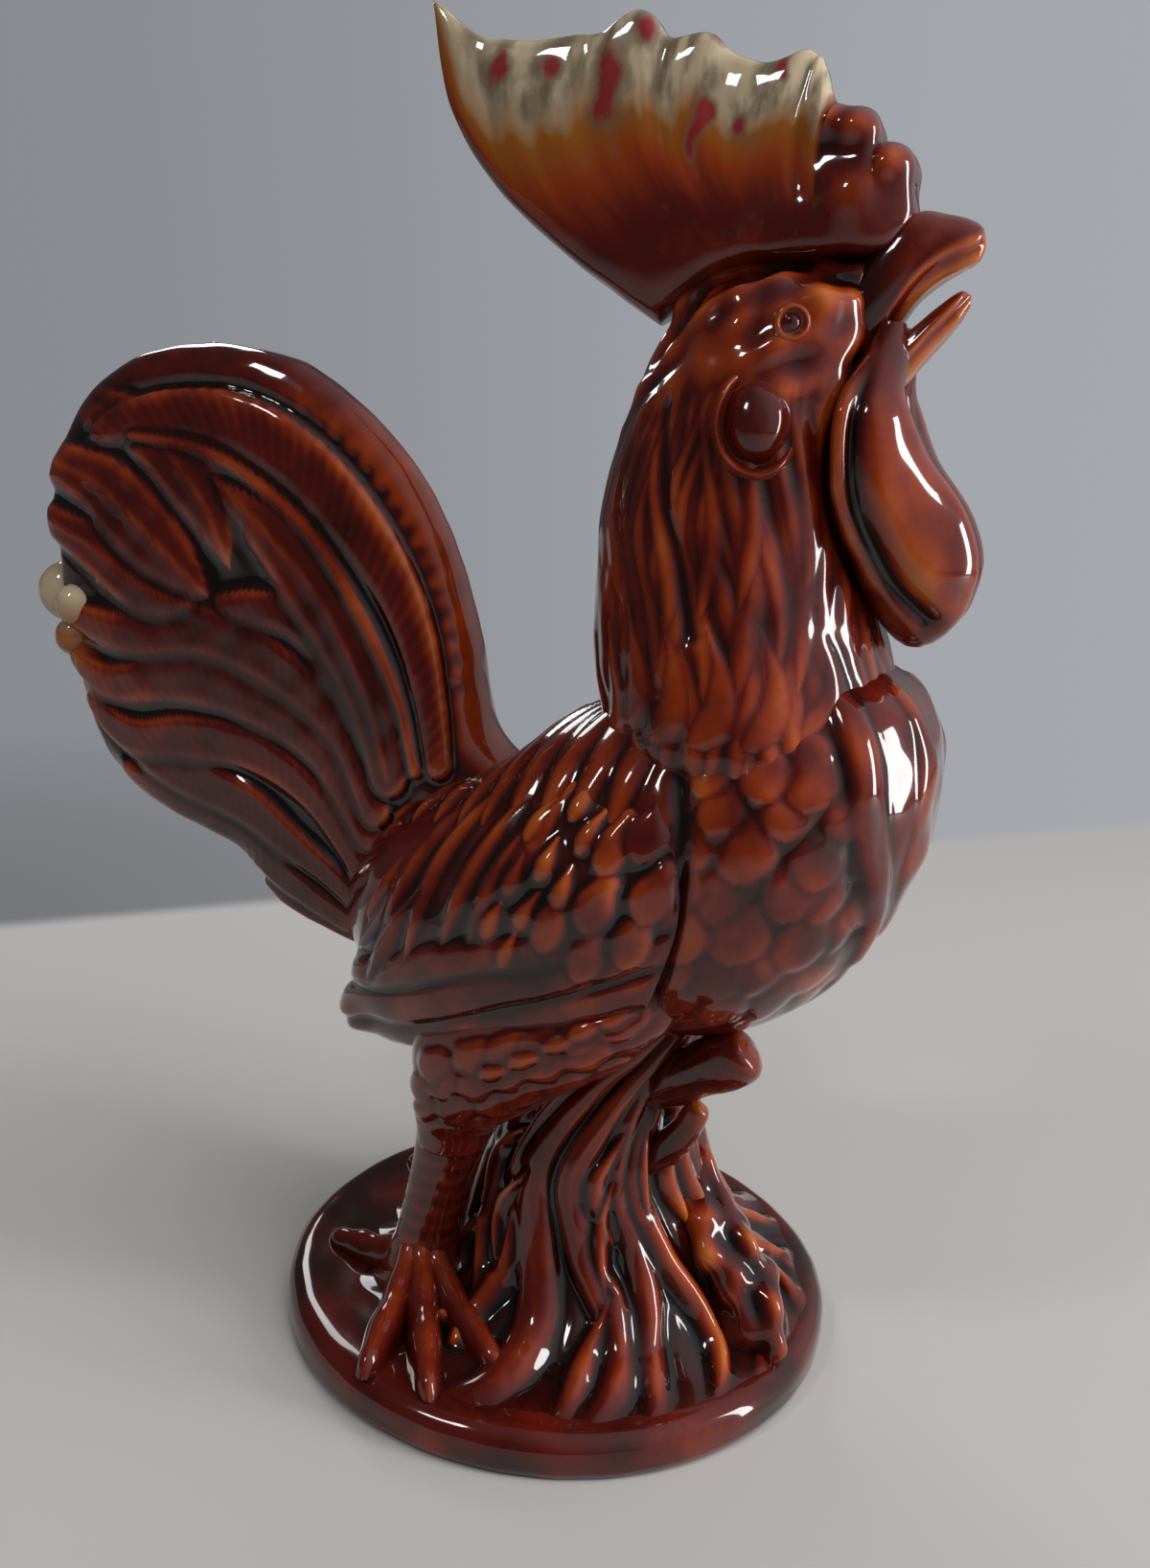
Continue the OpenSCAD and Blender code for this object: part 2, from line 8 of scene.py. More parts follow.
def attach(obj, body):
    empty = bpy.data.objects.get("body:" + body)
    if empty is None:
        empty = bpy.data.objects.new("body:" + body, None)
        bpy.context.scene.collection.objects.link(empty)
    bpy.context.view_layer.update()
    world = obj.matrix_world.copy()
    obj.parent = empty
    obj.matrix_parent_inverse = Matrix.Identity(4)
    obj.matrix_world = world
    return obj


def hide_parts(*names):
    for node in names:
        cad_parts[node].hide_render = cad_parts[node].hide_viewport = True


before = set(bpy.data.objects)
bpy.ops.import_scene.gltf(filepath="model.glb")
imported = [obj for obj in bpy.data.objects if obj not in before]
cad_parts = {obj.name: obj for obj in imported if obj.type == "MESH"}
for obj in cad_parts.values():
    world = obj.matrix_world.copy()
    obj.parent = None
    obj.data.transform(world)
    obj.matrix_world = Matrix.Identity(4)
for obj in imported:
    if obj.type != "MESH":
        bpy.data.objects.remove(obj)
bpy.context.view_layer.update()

bl_info = {
    "name": "Ceramic Rooster",
    "version": (1, 0, 0),
    "blender": (4, 5, 0),
    "location": "View3D > Sidebar > Rooster",
    "description": "Builds the carved and glazed surfaces of a ceramic rooster figurine",
    "category": "Add Mesh",
}

# Shapes are worked out in millimetres and turned into metres when a mesh is made
MM = 0.001
TAU = 2 * np.pi
BODY = "root"

# The glaze rounds the carving over this radius, and runs into slow waves of this height and length
GLAZE_SOFTNESS = 1.3
GLAZE_FLOW = 0.12
GLAZE_WAVE = 8
# How thin it lies on plain ground, from 0 to 1, and the two radii over which ground counts as high or low
GLAZE_GROUND = 0.45
GLAZE_NEAR = 4.0
GLAZE_WIDE = 12.0
# How much the wide radius counts beside the near one
WIDE_SHARE = 0.25

# Strokes: steps of a path for each of its points, half width of quills and grooves, and slant of barbs
PATH_STEPS = 7
LINE_WIDTH = 0.9
BARB_SLANT = 0.7

# Body cross-sections along X: x, underside z, top z, half width
BODY_ROWS = [
    (-57, 88, 90, 1), (-55, 83, 95, 6), (-50, 77, 103, 14.8), (-38, 70, 115, 26.5), (-16, 68, 127, 35.9),
    (0, 70, 140, 38.2), (20, 73, 148, 39), (41, 78, 154, 37), (55, 89, 155, 30.8), (64, 103, 151, 21.5),
    (69.5, 117, 144, 12.5), (71.2, 124, 138, 6), (71.9, 130, 133, 1)]
BODY_ROUND = 2.3

# Neck and head cross-sections up Z: z, back x, front x, half width
NECK_ROWS = [
    (128, 12.5, 54.5, 27), (136, 6, 60.5, 33.6), (143, 4, 60.5, 33.6), (152, 1, 60, 31.4),
    (166, 0, 56, 27.6), (182, 0, 53, 24.5), (200, 4, 52, 21.7), (212, 9, 52, 19.5), (218, 11, 52, 17.6),
    (222, 13, 51.5, 15), (225, 16, 50.5, 11.5), (227.5, 21, 48, 7), (229, 28, 43, 2.5)]

# Stump cross-sections up Z: z, back x, front x, half width
STUMP_ROWS = [
    (8.3, -47, 59, 57), (9.5, -39, 56, 52), (11, -31, 51.5, 46), (14, -24, 46, 39), (20, -20.5, 42, 33),
    (30, -17.5, 36, 28), (45, -12.5, 30, 25), (60, -3, 26, 22), (74, 7, 29, 21), (92, 16, 36, 19)]

# Right thigh cross-sections up Z: z, centre x, distance from the middle, x radius, y radius
THIGH_ROWS = [
    (46, -17, 25, 7.5, 7.5), (54, -15, 26, 10, 9), (64, -9, 28, 16, 11), (74, -2, 29, 22, 12),
    (84, 6, 28, 24, 12), (94, 11, 25, 22, 10)]

# Beak cross-sections along X: x, underside z, top z, half width
BEAK_ROWS = {
    "upper_beak": [
        (44, 208, 222, 6), (48, 209.5, 231, 7.6), (52, 214, 235.2, 7.6), (56, 220.5, 236.6, 6.6),
        (60, 224.5, 236, 5.4), (64, 226.8, 235.2, 4), (66.4, 228.2, 233.8, 2), (67.2, 230, 231.4, 0.5)],
    "lower_beak": [
        (45, 198, 212, 8), (52, 202.6, 213.6, 7), (56, 207.2, 216.4, 6), (60, 212.4, 220.2, 4.8),
        (64, 217.4, 223.2, 3), (65.8, 220.4, 222.6, 0.6)]}
BEAK_ROUND = 2.2

# Right wattle cross-sections up Z: z, back x, front x, half width
WATTLE_ROWS = [
    (159.5, 62, 65.5, 1.5), (160.6, 60, 67.6, 3.5), (163, 57.5, 69.8, 5.4), (168, 54, 71.8, 7),
    (176, 50.8, 72.6, 8), (184, 47.8, 69.5, 7.5), (194, 46.3, 61.5, 6.5), (204, 47, 57, 5.5),
    (211, 49, 57, 5), (217, 50.5, 55.5, 3)]

# Side-view outlines as x, z
COMB_ROOT = [(52, 229), (38, 227.5), (22, 225), (8, 216)]
COMB_TOP = [
    (53, 241), (51.5, 245.4), (46.5, 247.4), (44.8, 252.4), (38.4, 253.8), (36.4, 260.8), (33, 264),
    (24, 261.8), (14, 267), (7, 267.2), (0, 271.6), (-8, 269), (-18, 267.6), (-30, 268.4), (-44, 275.6)]
COMB_FRONT = [(52, 229), (55, 235), (53, 241)]
COMB_BACK = [(8, 216), (-10, 227), (-28, 241), (-39.5, 257), (-44, 275.6)]
TAIL_ROOT = [(-44, 80), (-34, 92), (-22, 106), (-10, 122)]
TAIL_RIM = [(-10, 122), (-23, 131), (-28.5, 152), (-37, 174), (-50, 191), (-72, 206), (-96, 210)]
TAIL_TIP = [(-133, 149), (-136, 160), (-139, 177), (-131.5, 194.5), (-116, 206), (-96, 210)]
TAIL_BELLY = [
    (-44, 80), (-60, 79), (-76, 87), (-84, 95), (-106, 101), (-124, 112), (-132, 131), (-134, 140),
    (-133, 149)]
WING_FRONT = [(27, 90), (32, 108), (30, 122), (24, 133)]
WING_REAR = [(-45, 62), (-47, 70), (-42, 80), (-40, 94)]
WING_LOW = [(27, 90), (10, 81), (-8, 74), (-24, 67), (-36, 61), (-45, 62)]
WING_TOP = [(24, 133), (8, 132), (-10, 126), (-28, 112), (-40, 94)]

# Boughs on the stump: how far the glaze is worn at the end, and x, y, z, radius points
BOUGHS = {
    "branch_stub": (0.16, [
        (18, -9, 60, 6), (26, -12, 64.5, 5.7), (33, -14.6, 69.5, 5.8), (39, -16.6, 74, 6.2),
        (42.2, -17.8, 76.4, 5.7), (43.8, -18.3, 77.6, 4.4), (44.4, -18.6, 78.1, 1.8)]),
    "twig_knot": (0.5, [
        (23, -12, 45, 4), (27.5, -13, 50, 3.6), (31, -13.8, 55, 3.1), (33, -14.3, 59, 2.8),
        (33.8, -14.6, 61.2, 2.2), (34.1, -14.7, 62, 0.8)]),
    "front_root": (-0.12, [
        (22, 2, 48, 5), (29, 0, 38, 6.5), (36, -4, 29, 7.5), (43, -7, 21, 8), (49, -10, 14, 7.5),
        (52.5, -11.5, 8, 6.2)])}
# Middles of the gnarls on the root
GNARLS = ((35, -10, 33), (40, -13, 27), (44, -12, 19), (51, -14, 15), (36, -13, 17))

# Wing feathers in side view: long ones with widths, narrow ones, round ones with sizes, and small drops
WING_BANDS = (
    ([(31, 96), (12, 87), (-8, 78), (-28, 68), (-46, 64)], 10),
    ([(31, 104), (14, 96), (-6, 88), (-27, 78), (-46, 72)], 9),
    ([(30, 110), (18, 104), (4, 99), (-12, 94), (-26, 87), (-44, 80)], 8))
WING_STRANDS = (
    [(-19, 126), (-30, 112), (-38, 93)], [(-13, 127), (-24, 112), (-31, 90)],
    [(-8, 127), (-16, 116), (-20, 106), (-23, 90)], [(-2, 126), (-8, 114), (-14, 96)],
    [(3, 125), (-3, 112), (-8, 98)], [(-27, 122), (-37, 106), (-43, 84)],
    [(8, 130), (3, 119), (-1, 108)], [(-22, 104), (-28, 94), (-34, 82)])
WING_COVERTS = (
    (16, 100, 8), (9, 105, 8), (24, 104, 8.5), (17, 110, 9), (27, 113, 9), (19, 121, 8), (25, 124, 9))
WING_DROPS = ((3, 123), (11, 128), (1, 113), (7, 117), (14, 123), (11, 113), (4, 107), (-3, 104), (1, 99))

# Tail feathers in side view, in the order they are laid: kind, width and points
TAIL_FEATHERS = (
    ("stub", 8, [(-50, 82), (-62, 87), (-74, 90)]),
    ("long", 11.5, [(-52, 86), (-66, 92), (-80, 100), (-98, 104), (-116, 112)]),
    ("long", 12, [(-50, 92), (-64, 100), (-80, 109), (-100, 114), (-122, 122)]),
    ("long", 12.5, [(-48, 98), (-61, 113), (-77, 121), (-94, 122), (-112, 120), (-126, 128)]),
    ("long", 13.5, [(-46, 106), (-60, 124), (-79, 133), (-98, 135), (-118, 132), (-132, 138)]),
    ("long", 14, [(-45, 112), (-55, 130), (-73, 142), (-92, 147), (-114, 144), (-134, 148)]),
    ("leaf", 16, [(-136, 168), (-122, 163), (-107, 155), (-92, 152)]),
    ("leaf", 20, [(-138, 182), (-120, 177), (-103, 165), (-89, 154)]),
    ("leaf", 18, [(-126, 195), (-106, 189), (-92, 177), (-84, 161)]),
    ("long", 11.5, [(-42, 118), (-54, 140), (-67, 152), (-88, 154)]),
    ("leaf", 17, [(-42, 120), (-48, 137), (-59, 155), (-72, 168), (-89, 181)]),
    ("sickle", 15, [
        (-31, 124), (-38, 150), (-49, 168), (-66, 184), (-85, 193), (-107, 193), (-123, 188)]),
    ("shaft", 4.5, [
        (-36, 122), (-41, 138), (-51, 155), (-63, 170), (-77, 180), (-92, 186.5), (-112, 188.5)]))
# Line along which the tail's rim is notched, and the beads on the right of its tip: centre, radius, paleness
TAIL_NOTCHES = [
    (-25, 126), (-31, 152), (-42.5, 173.5), (-61.5, 191), (-83.5, 200), (-108, 200), (-125, 194.5)]
TAIL_BEADS = (((-129.5, -7, 148.5), 5.4, 0.7), ((-131.5, -6, 141), 4.8, 0.5))

# Tiers of hackle feathers: z of their tips, number on each side and length
HACKLE_TIERS = ((127, 19, 78), (150, 13, 54), (164, 9, 36))
# Creases in side view: round the face, down behind the wattle, and on the wattle itself as x and z
FACE_CREASE = [
    (14, 215), (17, 221), (22, 224.5), (30, 226.5), (41, 226.5), (48.5, 224), (51.5, 217), (50.5, 208)]
CHEEK_CREASE = [(50.5, 210), (47.5, 202), (46.5, 194), (47.5, 185), (51, 176), (56, 167), (61, 160)]
CREASE_X = (66, 59.5, 55, 51.5, 50.5, 51, 52.5)
CREASE_Z = (165, 170.5, 178, 187, 197, 206, 213)

# Lobes on the comb's front as x, z, radius, and its red patches as x, z, x radius, z radius
COMB_LOBES = ((37, 250.5, 3.2), (43, 249, 3.2), (49.5, 243, 3.4), (44, 238, 6))
COMB_RED = (
    (-27, 262, 3.4, 4.8), (-17, 260.5, 2.8, 5), (-4, 258, 3.3, 9.5), (2, 267, 2.4, 2.4),
    (16, 266, 2.4, 2), (28, 260, 2.2, 2.2), (14, 251, 1.4, 6), (22, 249, 2, 2.2))

# Profiles of ear lobe and eye: share of the radius, height
LOBE_PROFILE = [
    (1, -6), (1, -2.5), (0.96, -1.4), (0.86, -0.8), (0.76, -0.7), (0.67, 0.2), (0.58, 1.6), (0.44, 3.1),
    (0.23, 4), (0.05, 4.2)]
EYE_PROFILE = [
    (1, -3), (1, 1.2), (0.9, 2.2), (0.74, 2.4), (0.62, 1.8), (0.45, 1.9), (0.25, 2.4), (0.04, 2.6)]

PLINTH_H = 9

# Skins laid out flat: the axis that one is unrolled from, and millimetres to a radian or all round
BREAST_AXIS_X = 25
BREAST_TURN = 36
SADDLE_AXIS_Z = 105
SADDLE_TURN = 34
NECK_TURN = 27
STUMP_GIRTH = 163.0

# Camera: its place in metres, the ways it looks and holds up, and the way to its right
EYE = (0.08922, -0.25495, 0.18795)
AIM = (-0.33228, 0.91293, -0.23696)
UP = (-0.14349, 0.19938, 0.96936)
RIGHT = tuple(np.cross(AIM, UP))
# Its focal length and the picture's height in pixels, and its sensor's height in millimetres
FOCAL = 1350
PICTURE_HEIGHT = 1636
SENSOR = 36

# Lamps: place and size in metres, share of the window's power, and whether the glaze mirrors them
LAMPS = {
    "window": ((1.2, 0.12, 0.42), (0.22, 0.8), 1.0, True),
    "far_window": ((-0.9, 0.8, 0.9), (0.4, 0.5), 0.4, True),
    "lamp": ((-0.45, -0.75, 1.1), (0.16, 0.22), 0.3, True),
    "ceiling": ((0.8, -0.1, 1.5), (1.2, 1.2), 1.6, False)}
LAMPS_AIM = (0, 0, 0.13)
# Light from all round: the way it is strongest, its lowest level and how much more there is that way
SKY_WAY = (0.8, 0.2, 0.56)
SKY_LOW = 0.17
SKY_MORE = 1.5
# Level ways to the wall and along it, the soft line at its foot in metres, and half the floor's width
WALL_WAY = (-0.735, 0.678, 0)
ALONG_WALL = (0.678, 0.735, 0)
WALL_FOOT = (0.276, 0.292)
FLOOR_HALF = 4


def ease(low, high, x):
    """Smooth step: 0 below low, 1 above high, and a cubic between them."""
    t = np.clip((x - low) / (high - low), 0, 1)
    return t * t * (3 - 2 * t)


def eased(count):
    """Shares from 0 to 1 that lie closer together near both ends, along half a cosine."""
    return (1 - np.cos(np.pi * np.arange(count) / (count - 1))) / 2


def shares(count):
    """Even shares from 0 to 1, one for each ring."""
    return np.linspace(0, 1, count)[:, None]


def angles(count, shift=0.0):
    """Angles evenly round a ring, the first a share of one step on from 0."""
    return TAU * (np.arange(count) + shift) / count


def grid(x, y, z):
    """Points of a grid of rings: x, y and z for each ring, angle or point, spread over the grid."""
    return np.stack(np.broadcast_arrays(x, y, z), -1)


def bell(*offsets):
    """Bell curve: e to the power of minus the sum of the offsets' squares."""
    return np.exp(-sum(offset ** 2 for offset in offsets))


def signed_pow(value, power):
    """Power that keeps the sign of its base."""
    return np.sign(value) * np.abs(value) ** power


def run_of(path):
    """Distance along a path at each of its points."""
    return np.concatenate([[0], np.cumsum(np.linalg.norm(np.diff(path, axis=0), axis=1))])


def row_at(rows, s):
    """Smooth rows of a table at the values s of its first column: cubics with slopes from the neighbours."""
    rows = np.array(rows, float)
    keys = rows[:, 0]
    last = len(rows) - 1
    i = np.clip(np.searchsorted(keys, s, side="right") - 1, 0, last - 1)
    before = np.maximum(np.arange(last + 1) - 1, 0)
    after = np.minimum(np.arange(last + 1) + 1, last)
    slopes = (rows[after] - rows[before]) / (keys[after] - keys[before])[:, None]
    h = (keys[i + 1] - keys[i])[..., None]
    f = (s - keys[i])[..., None] / h
    return (rows[i] * (1 + 2 * f) * (1 - f) ** 2 + slopes[i] * h * f * (1 - f) ** 2
            + rows[i + 1] * f * f * (3 - 2 * f) + slopes[i + 1] * h * f * f * (f - 1))


def sections(rows, keys):
    """Columns of a table at shares of the way from its first row to its last, one value for each ring."""
    first, last = rows[0][0], rows[-1][0]
    return np.moveaxis(row_at(rows, first + (last - first) * keys), -1, 0)[..., None]


def curve(points, t):
    """Points at shares t of the smooth curve through a list of points: one cubic between each two."""
    points = np.array(points, float)
    last = len(points) - 1
    t = np.asarray(t, float) * last
    i = np.clip(np.floor(t).astype(int), 0, last - 1)
    f = (t - i)[..., None]
    a, b, c, d = (points[np.clip(i + k, 0, last)] for k in (-1, 0, 1, 2))
    bend = 2 * a - 5 * b + 4 * c - d
    twist = 3 * b - a - 3 * c + d
    return (2 * b + (c - a) * f + bend * f ** 2 + twist * f ** 3) / 2


def mix(first, second, share):
    """Points between two, by a share for each."""
    return first * (1 - share[..., None]) + second * share[..., None]


def patch(low, high, near, far, u, v):
    """Points of the patch between two edges along u and two along v: both blends less the corners' blend."""
    low_ends = mix(np.array(low[0]), np.array(low[-1]), u)
    high_ends = mix(np.array(high[0]), np.array(high[-1]), u)
    blends = mix(curve(low, u), curve(high, u), v) + mix(curve(near, v), curve(far, v), u)
    return blends - mix(low_ends, high_ends, v)


def ripple(points, size, seed):
    """Smooth waviness from about -1 to 1: twice the mean of eight sine waves in fixed directions."""
    draw = np.random.default_rng(seed)
    aim = draw.normal(size=(8, 3))
    aim /= np.linalg.norm(aim, axis=1)[:, None]
    return 2 * np.sin(points @ aim.T * (TAU / size) + draw.uniform(0, TAU, 8)).mean(axis=-1)


def bumps(count, seed):
    """Fixed small shifts from -1 to 1."""
    return np.random.default_rng(seed).uniform(-1, 1, count)


def rings_x(rows, steps, count, power):
    """Rings across X: superellipses with each row's underside, top and half width."""
    x, low, top, half = sections(rows, eased(steps))
    a = angles(count, 0.5)
    y = half * signed_pow(np.cos(a), 2 / power)
    return grid(x, y, (low + top) / 2 + (top - low) / 2 * signed_pow(np.sin(a), 2 / power))


def rings_z(rows, keys, count):
    """Rings across Z: ellipses between each row's back and front x, with its half width, from the front."""
    z, back, front, half = sections(rows, keys)
    a = angles(count, 0.5)
    return grid((back + front) / 2 + (front - back) / 2 * np.cos(a), half * np.sin(a), z)


def both_faces(us, across):
    """Shares u along and v across a fin's rings, which go up its right face and down its left."""
    v = eased(across)
    return np.meshgrid(us, np.concatenate([v, v[::-1]]), indexing="ij")


def rings_fin(low, high, near, far, us, across, half):
    """Rings of a fin: a patch in y = 0 with half(u, v) to each side."""
    u, v = both_faces(us, across)
    flat = patch(low, high, near, far, u, v)
    side = np.repeat([-1.0, 1.0], across)
    return grid(flat[..., 0], side * half(u, v), flat[..., 1]), u, v


def rings_bough(points, steps, count):
    """Rings along a curve of x, y, z, radius points, each square to the curve's run in side view."""
    path = curve(points, np.linspace(0, 1, steps))
    run = np.gradient(path, axis=0)[:, [0, 2]]
    run_x, run_z = np.moveaxis(run / np.linalg.norm(run, axis=1)[:, None], -1, 0)[..., None]
    x, y, z, radius = np.moveaxis(path, -1, 0)[..., None]
    a = angles(count)
    rise = radius * np.sin(a)
    return grid(x - run_z * rise, y + radius * np.cos(a), z + run_x * rise)


def rings_boss(centre, radius, profile, steps, count, turn=0.3, lean=0.0, crescent=0.0):
    """Rings of an oval boss on the right side and how far out they lie: a profile carried round an oval.

    The boss faces -Y, turned about Z towards the front, and may lean out towards its foot. A crescent may
    rise round its rear and lower rim.
    """
    reach, height = np.moveaxis(curve(profile, np.linspace(0, 1, steps)), -1, 0)[..., None]
    a = angles(count)
    across = reach * radius[0] * np.cos(a)
    up = reach * radius[1] * np.sin(a)
    rim = bell((reach - 0.88) / 0.1) * ease(-0.5, 0.3, np.cos(a - 1.25 * np.pi))
    out = height + crescent * rim - lean * up
    x = centre[0] + across * np.cos(turn) + out * np.sin(turn)
    y = centre[1] + across * np.sin(turn) - out * np.cos(turn)
    return grid(x, y, centre[2] + up), reach * np.ones(count)


def body_side(x, z, grow, drop):
    """Half width of the body grown all round and let down, in side view: its superellipse solved for y."""
    r = row_at(BODY_ROWS, x)
    top = r[..., 2] + grow
    low = r[..., 1] - grow - drop
    s = np.minimum(np.abs(2 * z - top - low) / (top - low), 0.97)
    return (r[..., 3] + grow) * (1 - s ** BODY_ROUND) ** (1 / BODY_ROUND)


class Carving:
    """Relief on a skin laid out flat as a, b in millimetres, built up stroke over stroke."""

    def __init__(self, a, b):
        self.a = a
        self.b = b
        self.height = np.zeros(a.shape)

    def stroke(self, points, width, rise, root=0.5, tip=0.0, peak=0.55, blunt=0.5, quill=0.0, barbs=0.0,
               pitch=2.2, groove=0.5, edge=0.35, tilt=0.0, flat=2, lip=0.0):
        """Lays one feather, scale or ridge along a curve, over what is there.

        Its width grows from the root's share to full at the peak and falls to the tip's, as a power of one
        less the square. Across, it is domed from an edge step, flatter for a higher power. It may tilt up
        towards its tip, and have a quill down its middle, slanting barbs and a lip inside its edge. A groove
        runs round it.
        """
        path = curve(points, np.linspace(0, 1, PATH_STEPS * len(points)))
        margin = width / 2 + 2
        pick = ((self.a > path[:, 0].min() - margin) & (self.a < path[:, 0].max() + margin)
                & (self.b > path[:, 1].min() - margin) & (self.b < path[:, 1].max() + margin))
        along, side = follow(path, self.a[pick], self.b[pick])
        t = along / run_of(path)[-1]
        fall = np.clip((t - peak) / (1 - peak), 0, 1)
        opening = root + (1 - root) * ease(0, peak, t)
        closing = tip + (1 - tip) * (1 - fall ** 2) ** blunt
        half = np.maximum(width / 2 * np.where(t < peak, opening, closing), 0.05)
        reach = np.abs(side) / half
        dome = np.sqrt(np.clip(1 - reach ** flat, 0, 1))
        top = rise * (edge + (1 - edge) * dome) * (1 - tilt * (1 - t))
        top += quill * bell(side / LINE_WIDTH)
        top += lip * bell((reach - 0.72) / 0.16)
        top += barbs * dome * np.sin(TAU * (along + BARB_SLANT * side) / pitch)
        cover = 1 - ease(0.8, 1.0, reach)
        cut = groove * bell((np.abs(side) - half) / LINE_WIDTH)
        self.height[pick] = np.maximum(self.height[pick] * (1 - cover) + top * cover - cut, -1.5 * groove)

    def trough(self, points, width, depth):
        """Presses a rounded groove along a curve: a bell of the distance from it."""
        path = curve(points, np.linspace(0, 1, PATH_STEPS * len(points)))
        side = follow(path, self.a.ravel(), self.b.ravel())[1]
        self.height -= depth * bell(side / (width / 2)).reshape(self.a.shape)


def follow(path, a, b):
    """Distance along a path and signed distance from it, for points a, b: the nearest of its segments."""
    nearest = np.full(a.shape, np.inf)
    along = np.zeros(a.shape)
    side = np.zeros(a.shape)
    run = 0.0
    for start, step in zip(path[:-1], np.diff(path, axis=0)):
        length = np.hypot(*step)
        da, db = a - start[0], b - start[1]
        f = np.clip((da * step[0] + db * step[1]) / length ** 2, 0, 1)
        da, db = da - f * step[0], db - f * step[1]
        distance = np.hypot(da, db)
        closer = distance < nearest
        nearest = np.where(closer, distance, nearest)
        along = np.where(closer, run + f * length, along)
        side = np.where(closer, distance * np.where(step[0] * db < step[1] * da, -1, 1), side)
        run += length
    return along, side


def blurred(values, steps, axis, wrap):
    """Mean over a sliding window along one axis, taken twice, from running sums."""
    width = 2 * steps + 1
    first = np.arange(values.shape[axis])
    pad = [(0, 0), (0, 0)]
    pad[axis] = (steps + 1, steps)
    for _ in range(2):
        total = np.cumsum(np.pad(values, pad, mode="wrap" if wrap else "edge"), axis=axis)
        values = (np.take(total, first + width, axis) - np.take(total, first, axis)) / width
    return values


def normals(points, loop):
    """Outward unit normals of a grid of rings: the way round crossed with the way along."""
    if loop:
        along = np.roll(points, -1, 0) - np.roll(points, 1, 0)
    else:
        along = np.gradient(points, axis=0)
    normal = np.cross(np.roll(points, -1, 1) - np.roll(points, 1, 1), along)
    return normal / np.maximum(np.linalg.norm(normal, axis=-1), 1e-9)[..., None]


def local_mean(points, field, radius, loop):
    """Mean of a field over each point's neighbourhood on a grid, of a radius in millimetres."""
    pace = [np.linalg.norm(np.diff(points, axis=k), axis=-1).mean() for k in (0, 1)]
    steps = [int(round(radius / (2 * p))) for p in pace]
    return blurred(blurred(field, steps[0], 0, loop), steps[1], 1, True)


def glazed(points, relief=0.0, loop=False, gain=0.3, bias=0.0, **values):
    """A shell with its relief carved along its normals and softened by the glaze, and how thin that lies.

    The glaze is thin where the surface stands out from its neighbourhood and thick where it lies low.
    """
    relief = relief + GLAZE_FLOW * ripple(points, GLAZE_WAVE, seed=5)
    soft, near, wide = (local_mean(points, relief, radius, loop)
                        for radius in (GLAZE_SOFTNESS, GLAZE_NEAR, GLAZE_WIDE))
    thin = GLAZE_GROUND + gain * (relief - near) + WIDE_SHARE * gain * (relief - wide) + bias
    values["thin"] = np.clip(thin, 0, 1)
    return points + normals(points, loop) * soft[..., None], values, loop


def mirrored(shell):
    """A shell's mirror image in the plane y = 0, its rings turned round so that it still faces outwards."""
    points, values, loop = shell
    return points[:, ::-1] * (1, -1, 1), {key: value[:, ::-1] for key, value in values.items()}, loop


def skin_mesh(name, shells):
    """Mesh of closed shells: quads round and along each grid of rings, and fans that close its open ends."""
    places, faces, spread, base = [], [], {}, 0
    for points, values, loop in shells:
        n, m, _ = points.shape
        index = np.arange(n * m).reshape(n, m) + base
        rows = np.vstack([index, index[:1]]) if loop else index
        here, there = rows[:-1], rows[1:]
        quads = np.stack([here, np.roll(here, -1, 1), np.roll(there, -1, 1), there], -1)
        faces += quads.reshape(-1, 4).tolist()
        ends = [] if loop else [0, -1]
        middle = base + n * m
        if ends:
            faces += np.stack([np.full(m, middle), np.roll(index[0], -1), index[0]], -1).tolist()
            faces += np.stack([np.full(m, middle + 1), index[-1], np.roll(index[-1], -1)], -1).tolist()
        places.append(np.vstack([points.reshape(-1, 3)] + [points[k].mean(axis=0) for k in ends]))
        for key, value in values.items():
            spread.setdefault(key, []).append(np.append(value.ravel(), [value[k].mean() for k in ends]))
        base = middle + len(ends)
    mesh = bpy.data.meshes.new(name)
    mesh.from_pydata((np.vstack(places) * MM).tolist(), [], faces)
    mesh.polygons.foreach_set("use_smooth", np.ones(len(mesh.polygons), bool))
    for key, value in spread.items():
        layer = mesh.attributes.new(key, "FLOAT", "POINT")
        layer.data.foreach_set("value", np.concatenate(value).astype(np.float32))
    mesh.update()
    if mesh.validate(verbose=False):
        raise RuntimeError(f"the mesh of {name} has bad faces")
    return mesh


def fire(node, slot, *shells, finish="treacle"):
    """Makes the piece that stands for a node, with its glaze, on the one rigid body."""
    piece = bpy.data.objects.new(f"{node}_glazed", skin_mesh(f"{node}_glazed", shells))
    piece.data.materials.append(glaze(finish))
    bpy.context.scene.collection.objects.link(piece)
    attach(piece, BODY)
    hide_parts(node)


def fire_pair(kind, slot, *shells):
    """Makes the right piece of a pair and its mirrored left one."""
    fire(f"right_{kind}", slot, *shells)
    fire(f"left_{kind}", slot, *(mirrored(shell) for shell in shells))


